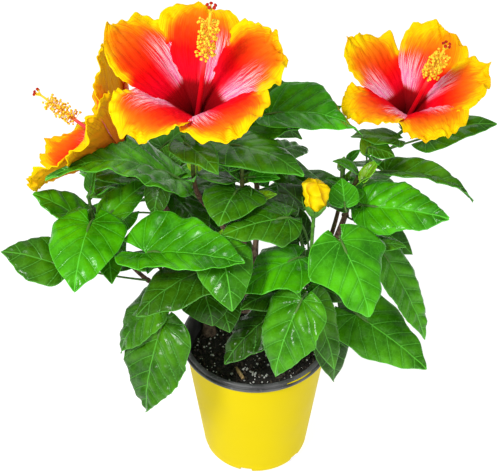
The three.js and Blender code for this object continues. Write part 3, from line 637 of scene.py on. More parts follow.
class Paint:
    """A material in the making. Most methods add a node and give its output."""

    def __init__(self, name, **values):
        self.material = bpy.data.materials.new(name)
        self.material.use_nodes = True
        self.tree = self.material.node_tree
        self.surface = self.tree.nodes["Principled BSDF"]
        for socket, value in values.items():
            self.set(socket.replace("_", " "), value)

    def plug(self, value, target):
        if isinstance(value, bpy.types.NodeSocket):
            self.tree.links.new(value, target)
        else:
            target.default_value = value

    def set(self, socket, value):
        self.plug(value, self.surface.inputs[socket])

    def node(self, kind, inputs, output=0, **options):
        made = self.tree.nodes.new(kind)
        for option, value in options.items():
            setattr(made, option, value)
        for socket, value in inputs.items():
            self.plug(value, made.inputs[socket])
        return made.outputs[output]

    def math(self, operation, a, b=0.0):
        return self.node("ShaderNodeMath", {0: a, 1: b}, operation=operation)

    def times(self, a, b):
        return self.math("MULTIPLY", a, b)

    def plus(self, a, b):
        return self.math("ADD", a, b)

    def minus(self, a, b):
        return self.math("SUBTRACT", a, b)

    def most(self, a, b):
        return self.math("MAXIMUM", a, b)

    def sway(self, value, width):
        """A value between 0 and 1, moved to lie round 0 and stretched to a width."""
        return self.times(self.minus(value, 0.5), width)

    def mix(self, share, a, b, blend="MIX"):
        a, b = (x if isinstance(x, bpy.types.NodeSocket) else (*x, 1) for x in (a, b))
        return self.node("ShaderNodeMix", {0: share, 6: a, 7: b}, output=2, data_type="RGBA",
                         blend_type=blend)

    def step(self, value, low, high, start=0.0, end=1.0):
        return self.node("ShaderNodeMapRange", {0: value, 1: low, 2: high, 3: start, 4: end},
                         interpolation_type="SMOOTHSTEP")

    def fade(self, value, low, high, start=1.0):
        return self.step(value, low, high, start, 0.0)

    def field(self, name):
        return self.node("ShaderNodeAttribute", {}, output="Fac", attribute_name=name)

    def place(self):
        return self.node("ShaderNodeTexCoord", {}, output="Object")

    def noise(self, scale, detail, place=None):
        return self.node("ShaderNodeTexNoise", {
            "Vector": place or self.place(), "Scale": scale, "Detail": detail})

    def cells(self, scale, feature="F1"):
        return self.node("ShaderNodeTexVoronoi", {"Vector": self.place(), "Scale": scale},
                         feature=feature)

    def fibres(self, across, along, detail, shift=0.0):
        """Noise drawn out into fibres from a petal's root to its rim."""
        return self.noise(1.0, detail, self.node("ShaderNodeCombineXYZ", {
            0: self.times(self.field("across"), across), 1: self.times(self.field("reach"), along),
            2: shift}))

    def ramp(self, value, stops):
        made = self.tree.nodes.new("ShaderNodeValToRGB")
        self.tree.links.new(value, made.inputs[0])
        elements = made.color_ramp.elements
        while len(elements) < len(stops):
            elements.new(0.5)
        for element, (place, colour) in zip(elements, stops):
            element.position = place
            element.color = (*colour, 1)
        return made.outputs[0]

    def coated(self, colour, height, strength, distance):
        """The finished material, with its colour and its relief."""
        self.set("Base Color", colour)
        self.set("Normal", self.node("ShaderNodeBump", {
            "Height": height, "Strength": strength, "Distance": distance}))
        return self.material


def plain_paint(name, dark, light, scale, roughness):
    """A colour that drifts between two, with a fine grain."""
    paint = Paint(name, Roughness=roughness, Specular_IOR_Level=0.2)
    drift = paint.step(paint.noise(scale, 4), 0.3, 0.7)
    return paint.coated(paint.mix(drift, dark, light), paint.noise(6 * scale, 3), 0.3, 0.0005)


def vein_distance(paint):
    """How far the nearest side vein is, in millimetres."""
    phase = paint.math("FRACT", paint.plus(paint.field("vein"), 0.5))
    return paint.times(paint.math("ABSOLUTE", paint.minus(phase, 0.5)), paint.field("pitch"))


def leaf_paint(tone, colour):
    """Glossy green between paler veins and margins, puffed up between the finest veins, with
    painted shade beside the side veins.
    """
    paint = Paint(f"leaf_{tone}", Specular_IOR_Level=0.21)
    vein = tuple(c + 0.5 * v for c, v in zip(colour, PALE_VEIN))
    dark_tone_and_vein_shade = tuple(0.5 * c for c in colour)
    lighter = (2.0 * colour[0], 1.4 * colour[1], colour[2])
    side = vein_distance(paint)
    line = paint.fade(side, 0.05, 0.55)
    middle = paint.fade(paint.math("ABSOLUTE", paint.field("aside")), 0.25, 0.75)
    margin = paint.fade(paint.field("edge"), 0.3, 1.0)
    network = paint.cells(150, "DISTANCE_TO_EDGE")
    lamina = paint.mix(paint.step(paint.noise(30, 4), 0.3, 0.72), dark_tone_and_vein_shade, lighter)
    # Painted shade: the blade darkens beside each side vein, in the grooves between the puffed
    # pillows
    lamina = paint.mix(paint.fade(side, 0.4, 3.2, 0.45), lamina, dark_tone_and_vein_shade)
    lamina = paint.mix(paint.times(paint.fade(network, 0.0, 0.06), 0.2), lamina, vein)
    pale = paint.most(paint.times(line, 0.8), paint.most(middle, paint.times(margin, 0.9)))
    paint.set("Roughness", paint.step(paint.noise(60, 3), 0.3, 0.7, 0.21, 0.34))
    raised = paint.minus(paint.step(network, 0.0, 0.35, 0.0, 0.3), line)
    grain = paint.times(paint.noise(420, 3), 0.45)
    return paint.coated(paint.mix(pale, lamina, vein), paint.plus(raised, grain), 0.3, 0.0010)


def leaf_back_paint():
    """Matte grey-green, with raised veins."""
    paint = Paint("leaf_back", Roughness=0.6, Specular_IOR_Level=0.15)
    line = paint.fade(vein_distance(paint), 0.2, 1.1)
    mesh = paint.fade(paint.cells(150, "DISTANCE_TO_EDGE"), 0.0, 0.12)
    lamina = paint.mix(paint.noise(40, 3), (0.030, 0.150, 0.018), (0.060, 0.230, 0.028))
    pale = paint.most(paint.times(line, 0.6), paint.times(mesh, 0.2))
    return paint.coated(paint.mix(pale, lamina, PALE_VEIN), paint.plus(line, mesh), 0.45, 0.0007)


def stalk_paint():
    paint = Paint("green_stalk", Roughness=0.5, Specular_IOR_Level=0.25)
    colour = paint.mix(paint.noise(55, 3), (0.045, 0.13, 0.02), (0.14, 0.30, 0.05))
    return paint.coated(colour, paint.noise(500, 2), 0.3, 0.0004)


def bark_paint():
    """Green shoots that turn reddish brown, then grey-brown with pale pores."""
    paint = Paint("bark", Roughness=0.75, Specular_IOR_Level=0.25)
    grain = paint.noise(240, 5)
    age = paint.plus(paint.field("age"), paint.sway(paint.noise(60, 3), 0.3))
    dark = paint.ramp(age, [(0.08, (0.030, 0.085, 0.012)), (0.32, (0.040, 0.018, 0.010)),
                            (0.6, (0.055, 0.030, 0.020)), (1.0, (0.085, 0.055, 0.038))])
    light = paint.ramp(age, [(0.08, (0.10, 0.24, 0.03)), (0.32, (0.14, 0.065, 0.030)),
                             (0.6, (0.20, 0.12, 0.075)), (1.0, (0.30, 0.215, 0.15))])
    colour = paint.mix(paint.step(grain, 0.3, 0.7), dark, light)
    pores = paint.fade(paint.cells(330), 0.14, 0.2)
    return paint.coated(paint.mix(paint.times(pores, 0.5), colour, (0.42, 0.33, 0.23)),
                        paint.plus(grain, pores), 0.6, 0.0008)


def petal_paint():
    """Maroon eye, crimson, red, orange and a yellow margin, with pale streaks on one side."""
    paint = Paint("petal", Roughness=0.62, Specular_IOR_Level=0.06)
    reach = paint.field("reach")
    feather = paint.fibres(30.0, 3.5, 5)
    place = paint.plus(reach, paint.sway(feather, 0.17))
    colour = paint.ramp(place, [
        (0.00, (0.120, 0.000, 0.002)), (0.23, (0.300, 0.000, 0.003)),
        (0.27, (0.700, 0.000, 0.012)), (0.36, (0.880, 0.000, 0.016)),
        (0.52, (0.930, 0.002, 0.003)), (0.68, (0.930, 0.045, 0.002)),
        (0.82, (0.940, 0.130, 0.003)), (1.00, (0.970, 0.260, 0.003))])
    side = paint.step(paint.field("across"), -0.1, 0.55)
    halo = paint.times(paint.step(place, 0.25, 0.29), paint.fade(place, 0.36, 0.64))
    halo = paint.times(paint.times(halo, side), 0.85)
    colour = paint.mix(halo, colour, (0.86, 0.18, 0.48))
    streak = paint.times(paint.step(reach, 0.22, 0.30), paint.fade(reach, 0.45, 0.82))
    strands = paint.step(paint.fibres(64.0, 2.6, 5, 7.0), 0.52, 0.56)
    streak = paint.times(strands, paint.times(side, streak))
    colour = paint.mix(streak, colour, (1.0, 0.88, 0.88))
    rag = paint.plus(paint.sway(paint.noise(24, 3), 24.0), paint.sway(feather, 12.0))
    near = paint.plus(paint.field("edge"), rag)
    colour = paint.mix(paint.fade(near, 1.0, 15.0, 0.85), colour, (0.98, 0.38, 0.0))
    colour = paint.mix(paint.fade(near, 0.0, 9.5, 0.95), colour, (1.0, 0.72, 0.0))
    veins = paint.times(paint.step(paint.fibres(80.0, 5.0, 3, 3.0), 0.55, 0.66), 0.45)
    colour = paint.mix(veins, colour, (0.80, 0.22, 0.10), "MULTIPLY")
    return paint.coated(colour, feather, 0.6, 0.0014)


def petal_back_paint():
    """Matte orange with darker radiating veins and a yellow margin."""
    paint = Paint("petal_back", Roughness=0.75, Specular_IOR_Level=0.06)
    feather = paint.fibres(34.0, 2.2, 4)
    colour = paint.ramp(paint.field("reach"), [
        (0.0, (0.60, 0.08, 0.02)), (0.35, (0.88, 0.26, 0.010)),
        (0.7, (0.97, 0.43, 0.006)), (1.0, (1.00, 0.56, 0.003))])
    veins = paint.times(paint.step(feather, 0.5, 0.68), 0.5)
    colour = paint.mix(veins, colour, (0.66, 0.09, 0.012))
    near = paint.plus(paint.field("edge"), paint.sway(paint.noise(85, 4), 7.0))
    colour = paint.mix(paint.fade(near, 1.0, 5.0), colour, (1.0, 0.60, 0.0))
    return paint.coated(colour, feather, 0.4, 0.0010)


def column_paint():
    """Dark red at the foot of the column, then pink, and yellow at the top."""
    paint = Paint("column", Roughness=0.45, Specular_IOR_Level=0.2)
    colour = paint.ramp(paint.field("rise"), [
        (0.0, (0.45, 0.000, 0.010)), (0.42, (0.84, 0.003, 0.010)), (0.58, (0.90, 0.08, 0.08)),
        (0.7, (0.95, 0.50, 0.06)), (1.0, (0.97, 0.68, 0.03))])
    return paint.coated(colour, paint.noise(400, 2), 0.2, 0.0004)


def bud_paint():
    """Yellow with painted shade that darkens it into the folds between the rolled petals."""
    paint = Paint("bud_petal", Roughness=0.55, Specular_IOR_Level=0.1)
    drift = paint.noise(110, 4)
    # Painted shade: deep orange-yellow fills the folds between the rolled petals, then fades to
    # yellow
    fold = paint.step(paint.field("fold"), 0.02, 0.35)
    colour = paint.mix(fold, (0.66, 0.34, 0.0), (0.98, 0.70, 0.0))
    colour = paint.mix(paint.step(drift, 0.5, 0.72, 0.0, 0.5), colour, (1.0, 0.84, 0.03))
    return paint.coated(colour, drift, 0.4, 0.0010)


def pot_paint():
    paint = Paint("yellow_plastic", Specular_IOR_Level=0.04)
    colour = paint.mix(paint.noise(14, 3), (0.72, 0.56, 0.0), (0.77, 0.61, 0.0))
    paint.set("Roughness", paint.step(paint.noise(30, 4), 0.3, 0.7, 0.38, 0.5))
    return paint.coated(colour, paint.noise(900, 2), 0.12, 0.0003)


def rim_paint():
    """Worn grey plastic with fine paler scuffs."""
    paint = Paint("grey_plastic")
    drift = paint.noise(45, 5)
    colour = paint.mix(paint.step(drift, 0.35, 0.7), (0.040, 0.040, 0.041), (0.125, 0.125, 0.126))
    scuffs = paint.times(paint.step(paint.noise(320, 2), 0.62, 0.7), 0.4)
    paint.set("Roughness", paint.step(drift, 0.3, 0.7, 0.35, 0.6))
    return paint.coated(paint.mix(scuffs, colour, (0.22, 0.22, 0.22)), paint.noise(700, 3), 0.25,
                        0.0004)


def soil_paint():
    paint = Paint("potting_mix", Roughness=0.95)
    grain = paint.noise(600, 5)
    colour = paint.mix(paint.step(grain, 0.35, 0.7), (0.005, 0.004, 0.004), (0.032, 0.026, 0.022))
    return paint.coated(colour, grain, 0.9, 0.0015)


LEAF_PAINTS = [leaf_paint(tone, colour) for tone, colour in TONES.items()] + [leaf_back_paint()]
LEAF_BACK = len(TONES)
TONE_NUMBERS = {tone: i for i, tone in enumerate(TONES)}


def leaf_from(root, row):
    """A leaf's place and shape from its row in the table."""
    stalk_length, stalk_turn, stalk_lift = row[1]
    length, width, turn, lift = row[2]
    roll, arch, fold, furl = row[3]
    along = direction(turn, lift)
    across = turned(direction(turn + 90, 0), along, roll)
    return SimpleNamespace(
        root=root, base=root + stalk_length * direction(stalk_turn, stalk_lift), along=along,
        across=across, rise=np.cross(along, across), length=length, width=width, arch=arch,
        fold=fold, furl=furl, form=row[4], tone=row[5])


def on_leaf(leaf, s, t=0.0):
    """A point on the plain blade, as its solid has it."""
    half = 0.5 * leaf.width * np.sin(math.pi * s ** LEAF_WIDEST) ** LEAF_FULLNESS
    angle = math.radians(between(leaf.fold, leaf.furl, s))
    back = BASE_SHOULDER * leaf.length * abs(t) * (1 - s) ** 3
    return (leaf.base + leaf.along * (s * leaf.length - back)
            + leaf.across * t * half * math.cos(angle)
            + leaf.rise * (abs(t) * half * math.sin(angle)
                           + 4 * leaf.arch * leaf.length * s * (1 - s)))


def margin_distance(u, v):
    """How far each point of a flat grid is from the grid's own outline."""
    rim = np.concatenate([np.stack([u[line], v[line]], -1)
                          for line in (np.s_[:, 0], np.s_[:, -1], np.s_[-1])])
    apart = np.stack([u, v], -1)[:, :, None] - rim[None, None]
    return np.sqrt((apart ** 2).sum(-1)).min(-1)


def tooth_profile(s, random, length):
    """Uneven forward teeth along one side of a leaf of this length."""
    marks = [TEETH_FROM]
    while marks[-1] < 1:
        marks.append(marks[-1] + TOOTH_PITCH / length * random.uniform(0.6, 1.3))
    marks = np.array(marks)
    index = np.clip(np.searchsorted(marks, s, side="right") - 1, 0, len(marks) - 2)
    share = (s - marks[index]) / (marks[index + 1] - marks[index])
    heights = random.uniform(0.5, 1.0, len(marks))
    tooth = np.where(share < TOOTH_LEAN, share / TOOTH_LEAN, (1 - share) / (1 - TOOTH_LEAN))
    return tooth * heights[index] - 0.3


def vein_phase(ahead, aside, length):
    """The number of the side vein at a place, and the gap between neighbours there.

    Above the base the side veins leave the midrib and arch towards the tip. Below that they
    spread from the base like the fingers of a hand.
    """
    count = max(3, round(length / VEIN_PITCH))
    curve = VEIN_SLANT * aside + VEIN_ARCH * aside ** 2 / length
    start = ahead - curve
    turn = np.degrees(np.arctan2(aside, ahead) - np.arctan2(aside, curve + 1e-6))
    reach = np.hypot(ahead, aside)
    phase = np.where(start > 0, count * start / length, -turn / PALM_STEP)
    pitch = np.where(start > 0, 0.75 * length / count, math.radians(PALM_STEP) * reach)
    return phase, pitch


def funnel_climb(reach):
    """How a petal climbs from the throat to its rolled rim, as a share of the funnel's depth."""
    return (1 + RIM_ROLL) * reach ** 0.8 - RIM_ROLL * reach ** 4


def behind_blooms(points):
    """Points of a leaf, bent back along a flower's axis where they would pass its petals."""
    for bloom in BLOOMS.values():
        x, y, z = frame_along(bloom.axis)
        apart = points - np.array(bloom.at)
        height = apart @ z
        flat = apart - height[..., None] * z
        radius = np.linalg.norm(flat, axis=-1)
        longest = PETAL_TRIM * bloom.reach
        reach = np.clip((radius - THROAT_RADIUS) / (longest - THROAT_RADIUS), 0, 1) ** 0.87
        turns, droops = np.array(bloom.petals, float).T
        turn = np.degrees(np.arctan2(flat @ y, flat @ x))[..., None]
        nearness = bell((turn - turns + 180) % 360 - 180, 0, PETAL_SHARING) + 1e-9
        droop = (nearness * droops).sum(-1) / nearness.sum(-1)
        surface = bloom.depth * funnel_climb(reach) - PETAL_ROOT_DROP - droop * reach ** 3
        over = np.maximum(height - surface + PETAL_CLEARANCE, 0) * (height < bloom.reach)
        over = over * (1 - smooth(radius, longest, longest + BEND_MARGIN))
        points = points - over[..., None] * z
    return points


def leaf_blade(leaf, random):
    """A blade with teeth, lobes, puckering and a wavy edge.

    Gives its grid of points, the numbers that its paint reads and its rows' shares of length.
    """
    form = SimpleNamespace(**FORMS[leaf.form])
    length = leaf.length
    rows = int(np.clip(length / ROW_PITCH, *ROWS))
    columns = 2 * int(np.clip(0.5 * leaf.width / COLUMN_PITCH, *HALF_COLUMNS)) + 1
    s = (1 - np.cos(math.pi * np.linspace(0.03, 0.995, rows) ** 0.9))[:, None] / 2
    t = np.linspace(-1, 1, columns)[None, :]
    wide = np.abs(t)
    right = t > 0

    outline = np.sin(math.pi * s ** LEAF_WIDEST) ** LEAF_FULLNESS
    outline = outline * (1 + form.shoulder * bell(s, *SHOULDER) - form.waist * bell(s, *WAIST)
                         - TIP_NARROWING * bell(s, *TIP))
    teeth = [tooth_profile(s, random, length) for _ in range(2)]
    tooth = form.teeth * np.where(right, teeth[1], teeth[0]) * smooth(s, 0.2, 0.45)
    lobes = random.uniform(*LOBE_SHARES, 2)
    lobe = 1 - np.abs(s - np.where(right, lobes[1], lobes[0])) / LOBE_LENGTH
    lobe = form.lobe * smooth(lobe, 0, 1.1) * np.where(right, *random.uniform(0.35, 1.15, 2))
    plain_half = 0.5 * leaf.width * outline
    waver = WAVER * leaf.width * ripples(s * length, 40 * right, random, 22, 45)
    half = (plain_half * (1 + tooth + lobe)
            + waver * smooth(s, 0.1, 0.3) * (1 - smooth(s, 0.8, 0.98)))
    x = t * half
    back = length * form.back * wide ** 1.4 * (1 - s) ** 3
    ahead = s * length - back + (TEETH_AHEAD * tooth + LOBES_AHEAD * lobe) * wide ** 4

    phase, pitch = vein_phase(ahead, np.abs(x), length)
    pillow = (1 - np.cos(math.pi * phase) ** 4) * np.clip(pitch / PUFFED_PITCH, 0, 1)
    pucker = form.pucker * min(1, length / PUFFED_LENGTH) * pillow
    pucker = pucker * smooth(np.abs(x), 0.8, 5) * (1 - 0.8 * smooth(wide, 0.8, 1))
    relief = RELIEF * ripples(ahead, x, random, 12, 30)
    ruffle = RUFFLE * ripples(ahead, x + 60 * right, random, 18, 40) * plain_half * wide ** 2.5
    twist = TWIST * length * (random.random() - 0.5) * t * smooth(s, 0.3, 1)
    sag = SAG * length * (random.random() - 0.3) * smooth(s, 0.6, 1) ** 2
    groove = GROOVE_DEPTH * bell(x, 0, GROOVE_WIDTH) * (1 - s)
    angle = np.radians(between(leaf.fold, leaf.furl, s))
    fold_line = np.sqrt(wide ** 2 + 0.1) - math.sqrt(0.1)
    rise = (fold_line * half * np.sin(angle) + 4 * leaf.arch * length * s * (1 - s) + pucker
            + relief + ruffle * smooth(s, 0.05, 0.3) - groove + twist - sag
            - CURL * half * wide ** 2)

    points = behind_blooms(laid_out(leaf.base, (ahead, x * np.cos(angle), rise),
                                    (leaf.along, leaf.across, leaf.rise)))
    fields = both_sides(points, vein=phase, pitch=pitch, aside=x, edge=margin_distance(ahead, x))
    return points, fields, s[:, 0]


def add_leaf(piece, stalks, leaf, random):
    """A leaf's blade, and its stalk, which runs on under the blade as the midrib."""
    points, fields, shares = leaf_blade(leaf, random)
    tone = TONE_NUMBERS[leaf.tone]
    piece.add(sheet(points, LEAF_THICKNESS), [tone, LEAF_BACK, tone], **fields)

    elbow = leaf.base - STALK_BEND * np.linalg.norm(leaf.base - leaf.root) * leaf.along
    w = np.linspace(0, 1, 11)[:, None]
    stalk = (1 - w) ** 2 * leaf.root + 2 * w * (1 - w) * elbow + w ** 2 * on_leaf(leaf, STALK_SINK)
    ribs = np.linspace(STALK_SINK, MIDRIB_END, 14)[1:]
    spine = points[:, points.shape[1] // 2] - MIDRIB_DEPTH * leaf.rise
    rib = np.stack([np.interp(ribs, shares, spine[:, k]) for k in range(3)], -1)
    radii = np.concatenate([1 + 0.35 * (2 * w[:, 0] - 1) ** 4, (1 - 0.8 * ribs) * 0.85])
    size = STALK_RADIUS * min(1, 0.5 + leaf.length / 120)
    stalks.add(tube(np.vstack([stalk, rib]), size * radii, STALK_SIDES))


def spiral_rows(count, turn, length, seed, fallen=()):
    """The rows of a seeded spiral, turns a golden angle apart, smaller towards the top."""
    random = seeded(seed)
    rows = []
    for i in range(count):
        share = (i + 0.7) / count
        heading = turn + GOLDEN_ANGLE * i + HABIT.turn_spread * (next(random) - 0.5)
        grown = HABIT.foot_size - HABIT.size_loss * share * share
        size = length * grown * (HABIT.least_size + HABIT.size_spread * next(random))
        stalk = HABIT.stalk_length * size * (1 - HABIT.stalk_loss * share)
        width = size * (HABIT.least_width + HABIT.width_spread * next(random))
        lift = HABIT.foot_lift + HABIT.lift_gain * share + HABIT.lift_spread * next(random)
        roll = HABIT.roll_spread * (next(random) - 0.5)
        fold = HABIT.fold + HABIT.fold_spread * next(random)
        if i not in fallen:
            rows.append([share, [stalk, heading, HABIT.stalk_lift + HABIT.stalk_lift_gain * share],
                         [size, width, heading, lift], [roll, HABIT.arch, fold, HABIT.furl],
                         SPIRAL_FORMS[i % len(SPIRAL_FORMS)], SPIRAL_TONES[i % len(SPIRAL_TONES)]])
    return rows


def solid_tree(names):
    """A search tree over the faces of solids, in metres."""
    points, faces = [], []
    for name in names:
        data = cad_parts[name].data
        start = len(points)
        points.extend(v.co.copy() for v in data.vertices)
        faces.extend([start + i for i in p.vertices] for p in data.polygons)
    return BVHTree.FromPolygons(points, faces)


def distance(tree, point):
    return tree.find_nearest(Vector(np.asarray(point) * MM))[3] / MM


def build_shoots():
    shoots = {name: Shoot(path, STEM_ENTERS) for name, path in STEMS.items()}
    for name, bough in BOUGHS.items():
        root = shoots[bough["stem"]].at(bough["at"])
        shoots[name] = Shoot([root, *bough["path"]], BOUGH_ENTERS)
    return shoots


SHOOTS = build_shoots()


def bark_relief(count, seed):
    """Ridges that run up a limb, broken by small cross cracks."""
    turn = ring(BARK_SIDES)
    up = np.arange(count)[:, None] * BARK_STEP
    ridges = np.sin(5 * turn + 0.05 * up + seed) + 0.6 * np.sin(9 * turn - 0.08 * up + 2 * seed)
    cracks = np.sin(0.9 * up + 1.5 * np.sin(2 * turn + seed))
    return BARK_RELIEF * (ridges + 0.4 * cracks)


def limb_shares(shoot, first):
    """Places along a limb, from the share `first` of its curve into the foot of its twig."""
    count = max(8, int((shoot.start - first) * shoot.length / BARK_STEP))
    return np.linspace(first, shoot.start + LIMB_OVERLAP, count) / shoot.start


def add_limb(piece, shoot, shares, radii, seed, young):
    """A limb of bark, with its radius at each of its places."""
    relief = bark_relief(len(shares), seed) * radii[:, None]
    piece.add(tube(shoot.at(shares * shoot.start), radii, BARK_SIDES, relief),
              age=1 - young * np.repeat(shares, BARK_SIDES))


def build_limbs():
    limbs = Piece("bark_limbs", [bark_paint()], ["age"])
    for i, (name, path) in enumerate(STEMS.items()):
        shoot = SHOOTS[name]
        below = SOIL_TOP - path[0][2]
        shares = limb_shares(shoot, (below - STEM_SINK) / shoot.length)
        height = np.maximum(0, shares * shoot.start * shoot.length - below)
        radii = (between(STEM_RADIUS, STEM_END_RADIUS, shares)
                 + STEM_FLARE * np.exp(-height / FLARE_HEIGHT))
        add_limb(limbs, shoot, shares, radii, 2.1 * i, 0.45)
    for i, name in enumerate(BOUGHS):
        shares = limb_shares(SHOOTS[name], 0.0)
        radii = (between(BOUGH_RADIUS, BOUGH_END_RADIUS, shares)
                 + BOUGH_COLLAR * np.exp(-9 * shares))
        add_limb(limbs, SHOOTS[name], shares, radii, 1.3 * i, 0.75)
    limbs.make("bark", [f"stem_{name}" for name in STEMS] + [f"bough_{name}" for name in BOUGHS])


def add_twig(piece, name, leaf_shares):
    """The leafy shoot's twig, swollen where each leaf leaves it."""
    shoot = SHOOTS[name]
    span = (1 - shoot.start) * shoot.length
    shares = np.linspace(0, 1, max(10, int(span / TWIG_STEP)))
    first = STEM_END_RADIUS if name in STEMS else BOUGH_END_RADIUS
    radii = between(first, TWIG_END_RADIUS, shares)
    for share in leaf_shares:
        radii = radii + NODE_SWELLING * bell(shares * span, share * span, TWIG_STEP)
    radii[-1] *= 0.5
    piece.add(tube(shoot.leafy(shares), radii, TWIG_SIDES),
              age=np.repeat(0.55 - 0.5 * shares, TWIG_SIDES))


def add_young_leaves(piece, stalks, name, box, crowd):
    """Small leaves on short side twigs in the upper part of a shoot, where there is room."""
    random = np.random.default_rng(len(name) * 101 + sum(map(ord, name)))
    low, high = (np.array(corner) / MM for corner in box)
    for i in range(YOUNG_LEAVES):
        share = between(YOUNG_FROM, 1, (i + 0.5) / YOUNG_LEAVES)
        turn = GOLDEN_ANGLE * i + random.uniform(-25, 25)
        lift = random.uniform(15, 60)
        length = random.uniform(15, 28)
        row = [share, [random.uniform(6, 13), turn, lift],
               [length, 0.62 * length, turn + random.uniform(-30, 30), lift - 20],
               [random.uniform(-25, 25), 0.08, 18, 14], "plain",
               YOUNG_TONES[i % len(YOUNG_TONES)]]
        leaf = leaf_from(SHOOTS[name].leafy(share), row)
        probes = [on_leaf(leaf, *place) for place in ((0.35,), (0.6, 1), (0.6, -1), (1.0,))]
        inside = all((low < p).all() and (p < high).all() for p in probes)
        if inside and min(distance(crowd, p) for p in probes) > YOUNG_ROOM:
            add_leaf(piece, stalks, leaf, random)


def build_foliage():
    """Each mass of leaves on its own twig. A spiral leaf grows where its solid stands."""
    stalks = Piece("leaf_stalks", [stalk_paint()])
    twigs = Piece("twigs", [bark_paint()], ["age"])
    crowd = solid_tree([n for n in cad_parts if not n.startswith("pot")])
    for number, name in enumerate(SHOOTS):
        node = f"leaves_{name}"
        own = solid_tree([node])
        random = np.random.default_rng(number + 40)
        piece = Piece(f"foliage_{name}", LEAF_PAINTS, ["vein", "pitch", "aside", "edge"])
        rows = LEAVES.get(name, []) + NEW_LEAVES.get(name, [])
        spiral = spiral_rows(**SPIRALS[name]) if name in SPIRALS else []
        shares = []
        for i, row in enumerate(rows + spiral):
            leaf = leaf_from(SHOOTS[name].leafy(row[0]), row)
            probes = [on_leaf(leaf, 0.5, 0.7), on_leaf(leaf, 0.5, -0.7), on_leaf(leaf, 0.97)]
            if i < len(rows) or max(distance(own, p) for p in probes) < SOLID_REACH:
                add_leaf(piece, stalks, leaf, random)
                shares.append(row[0])
        add_young_leaves(piece, stalks, name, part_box(node), crowd)
        add_twig(twigs, name, shares)
        piece.make("leaf", [node])
    stub = Curve([SHOOTS[STUB["shoot"]].leafy(STUB["share"]), *STUB["path"]])
    twigs.add(tube(stub.at(np.linspace(0, 1, 20)), STUB["radius"], TWIG_SIDES), age=0.12)
    stalks.make("leaf")
    twigs.make("bark")


def add_petal(piece, bloom, axes, petal, random):
    """A petal from its narrow claw in the calyx to its ruffled, scalloped rim."""
    x, y, z = axes
    turn, droop = petal
    longest = PETAL_TRIM * bloom.reach
    s = np.linspace(-CLAW, 1.0, PETAL_ROWS)[:, None]
    t = np.linspace(-1, 1, PETAL_COLUMNS)[None, :]
    wide = np.abs(t)
    claw = np.clip(-s / CLAW, 0, 1)
    reach = 1 - (1 - np.maximum(s, 0)) ** PETAL_CROWDING
    radial = (between(THROAT_RADIUS, longest, reach ** 1.15)
              - (THROAT_RADIUS - CLAW_RADIUS) * claw)
    spread = np.sin(math.pi * np.minimum(reach, 0.999) ** 1.7) ** 0.6
    half = longest * (PETAL_ROOT_WIDTH + PETAL_SPREAD * spread) * (1 - 0.5 * claw)
    aside = t * half
    arc = 0.5 * longest * np.arctan2(aside, radial - 0.5 * longest)
    margin = np.maximum(wide ** 3 * smooth(reach, 0.25, 0.7), smooth(reach, 0.72, 1.0))
    ruffle = (PETAL_RUFFLE * ripples(arc, 0.35 * radial, random, 14, 30, 5)
              + FINE_RUFFLE * ripples(arc, radial, random, 6, 12, 6)) * margin ** 1.5
    scallop = PETAL_SCALLOP * ripples(arc, 0, random, 9, 24, 5) * margin ** 2
    pleats = (PETAL_PLEAT * ripples(30 * t, 0.25 * radial, random, 5, 12, 6)
              + FINE_PLEAT * ripples(aside, radial, random, 4.5, 9, 8)) * smooth(reach, 0.1, 0.4)
    cup = PETAL_CUP * half * wide ** 2 * (1 - smooth(reach, 0.7, 1))
    height = (bloom.depth * funnel_climb(reach) - PETAL_ROOT_DROP - CLAW_DEPTH * claw
              - droop * reach ** 3 + PETAL_LAP * t * reach + ruffle + pleats + cup)
    radial = radial + scallop
    out = spoke(x, y, math.radians(turn))
    points = laid_out(bloom.at, (radial, aside, height), (out, np.cross(z, out), z))
    edge = margin_distance(radial, aside) + 30 * (1 - smooth(reach, 0.35, 0.62))
    piece.add(sheet(points, PETAL_THICKNESS), [0, 1, 0],
              **both_sides(points, reach=reach * bloom.paled, across=t * bloom.streaks,
                           edge=edge / bloom.paled ** 2))


def add_column(columns, anthers, stigmas, bloom, axes, random):
    """The column, its filaments and anthers, and its stigma pads."""
    at = np.array(bloom.at, float)
    along = unit(bloom.column)
    end = at + along * bloom.column_length
    x, y, _ = frame_along(along)
    shares = np.linspace(0, 1, 24)
    line = (at - CLAW_DEPTH * axes[2]) * (1 - shares[:, None]) + end * shares[:, None]
    radii = between(COLUMN_RADIUS, COLUMN_TIP_RADIUS, shares ** 0.8)
    columns.add(tube(line, radii, 12), rise=np.repeat(shares, 12))
    for i in range(ANTHERS):
        share = ANTHERS_FROM + ANTHERS_SPAN * (i + random.random()) / ANTHERS
        out = spoke(x, y, 2.4 * i + random.uniform(-0.3, 0.3))
        out = unit(out + along * random.uniform(-0.1, 0.5))
        start = at + along * share * bloom.column_length
        tip = start + out * random.uniform(5.0, 8.6)
        columns.add(tube([start, 0.5 * (start + tip) + 0.5 * along, tip], 0.28, 4), rise=0.9)
        anthers.add(ball(tip, random.uniform(1.0, 1.5), 4, 6, 0.8, out))
    fork = end - 5 * along
    for angle in ring(STIGMAS) + 0.4:
        spread = spoke(x, y, angle)
        tip = end + 2.4 * along + 3.3 * spread
        columns.add(tube([fork, fork + 3 * along + 1.2 * spread, tip], 0.55, 6), rise=1.0)
        stigmas.add(ball(tip, 1.55, 6, 9, 0.75, spread + along))


def add_blade(piece, base, along, rise, length, width, bow, furl):
    """A plain pointed green blade, such as a sepal, from its base along a direction."""
    s = np.linspace(0.0, 1.0, 10)[:, None]
    t = np.linspace(-1, 1, 7)[None, :]
    half = 0.5 * width * (1 - s ** 1.6) * (0.75 + 0.5 * s) + 0.15
    height = bow * 4 * s * (1 - s) + furl * t ** 2 * half
    points = laid_out(base, (s * length + 0 * t, t * half, height),
                      (along, np.cross(rise, along), rise))
    piece.add(sheet(points, 0.6))


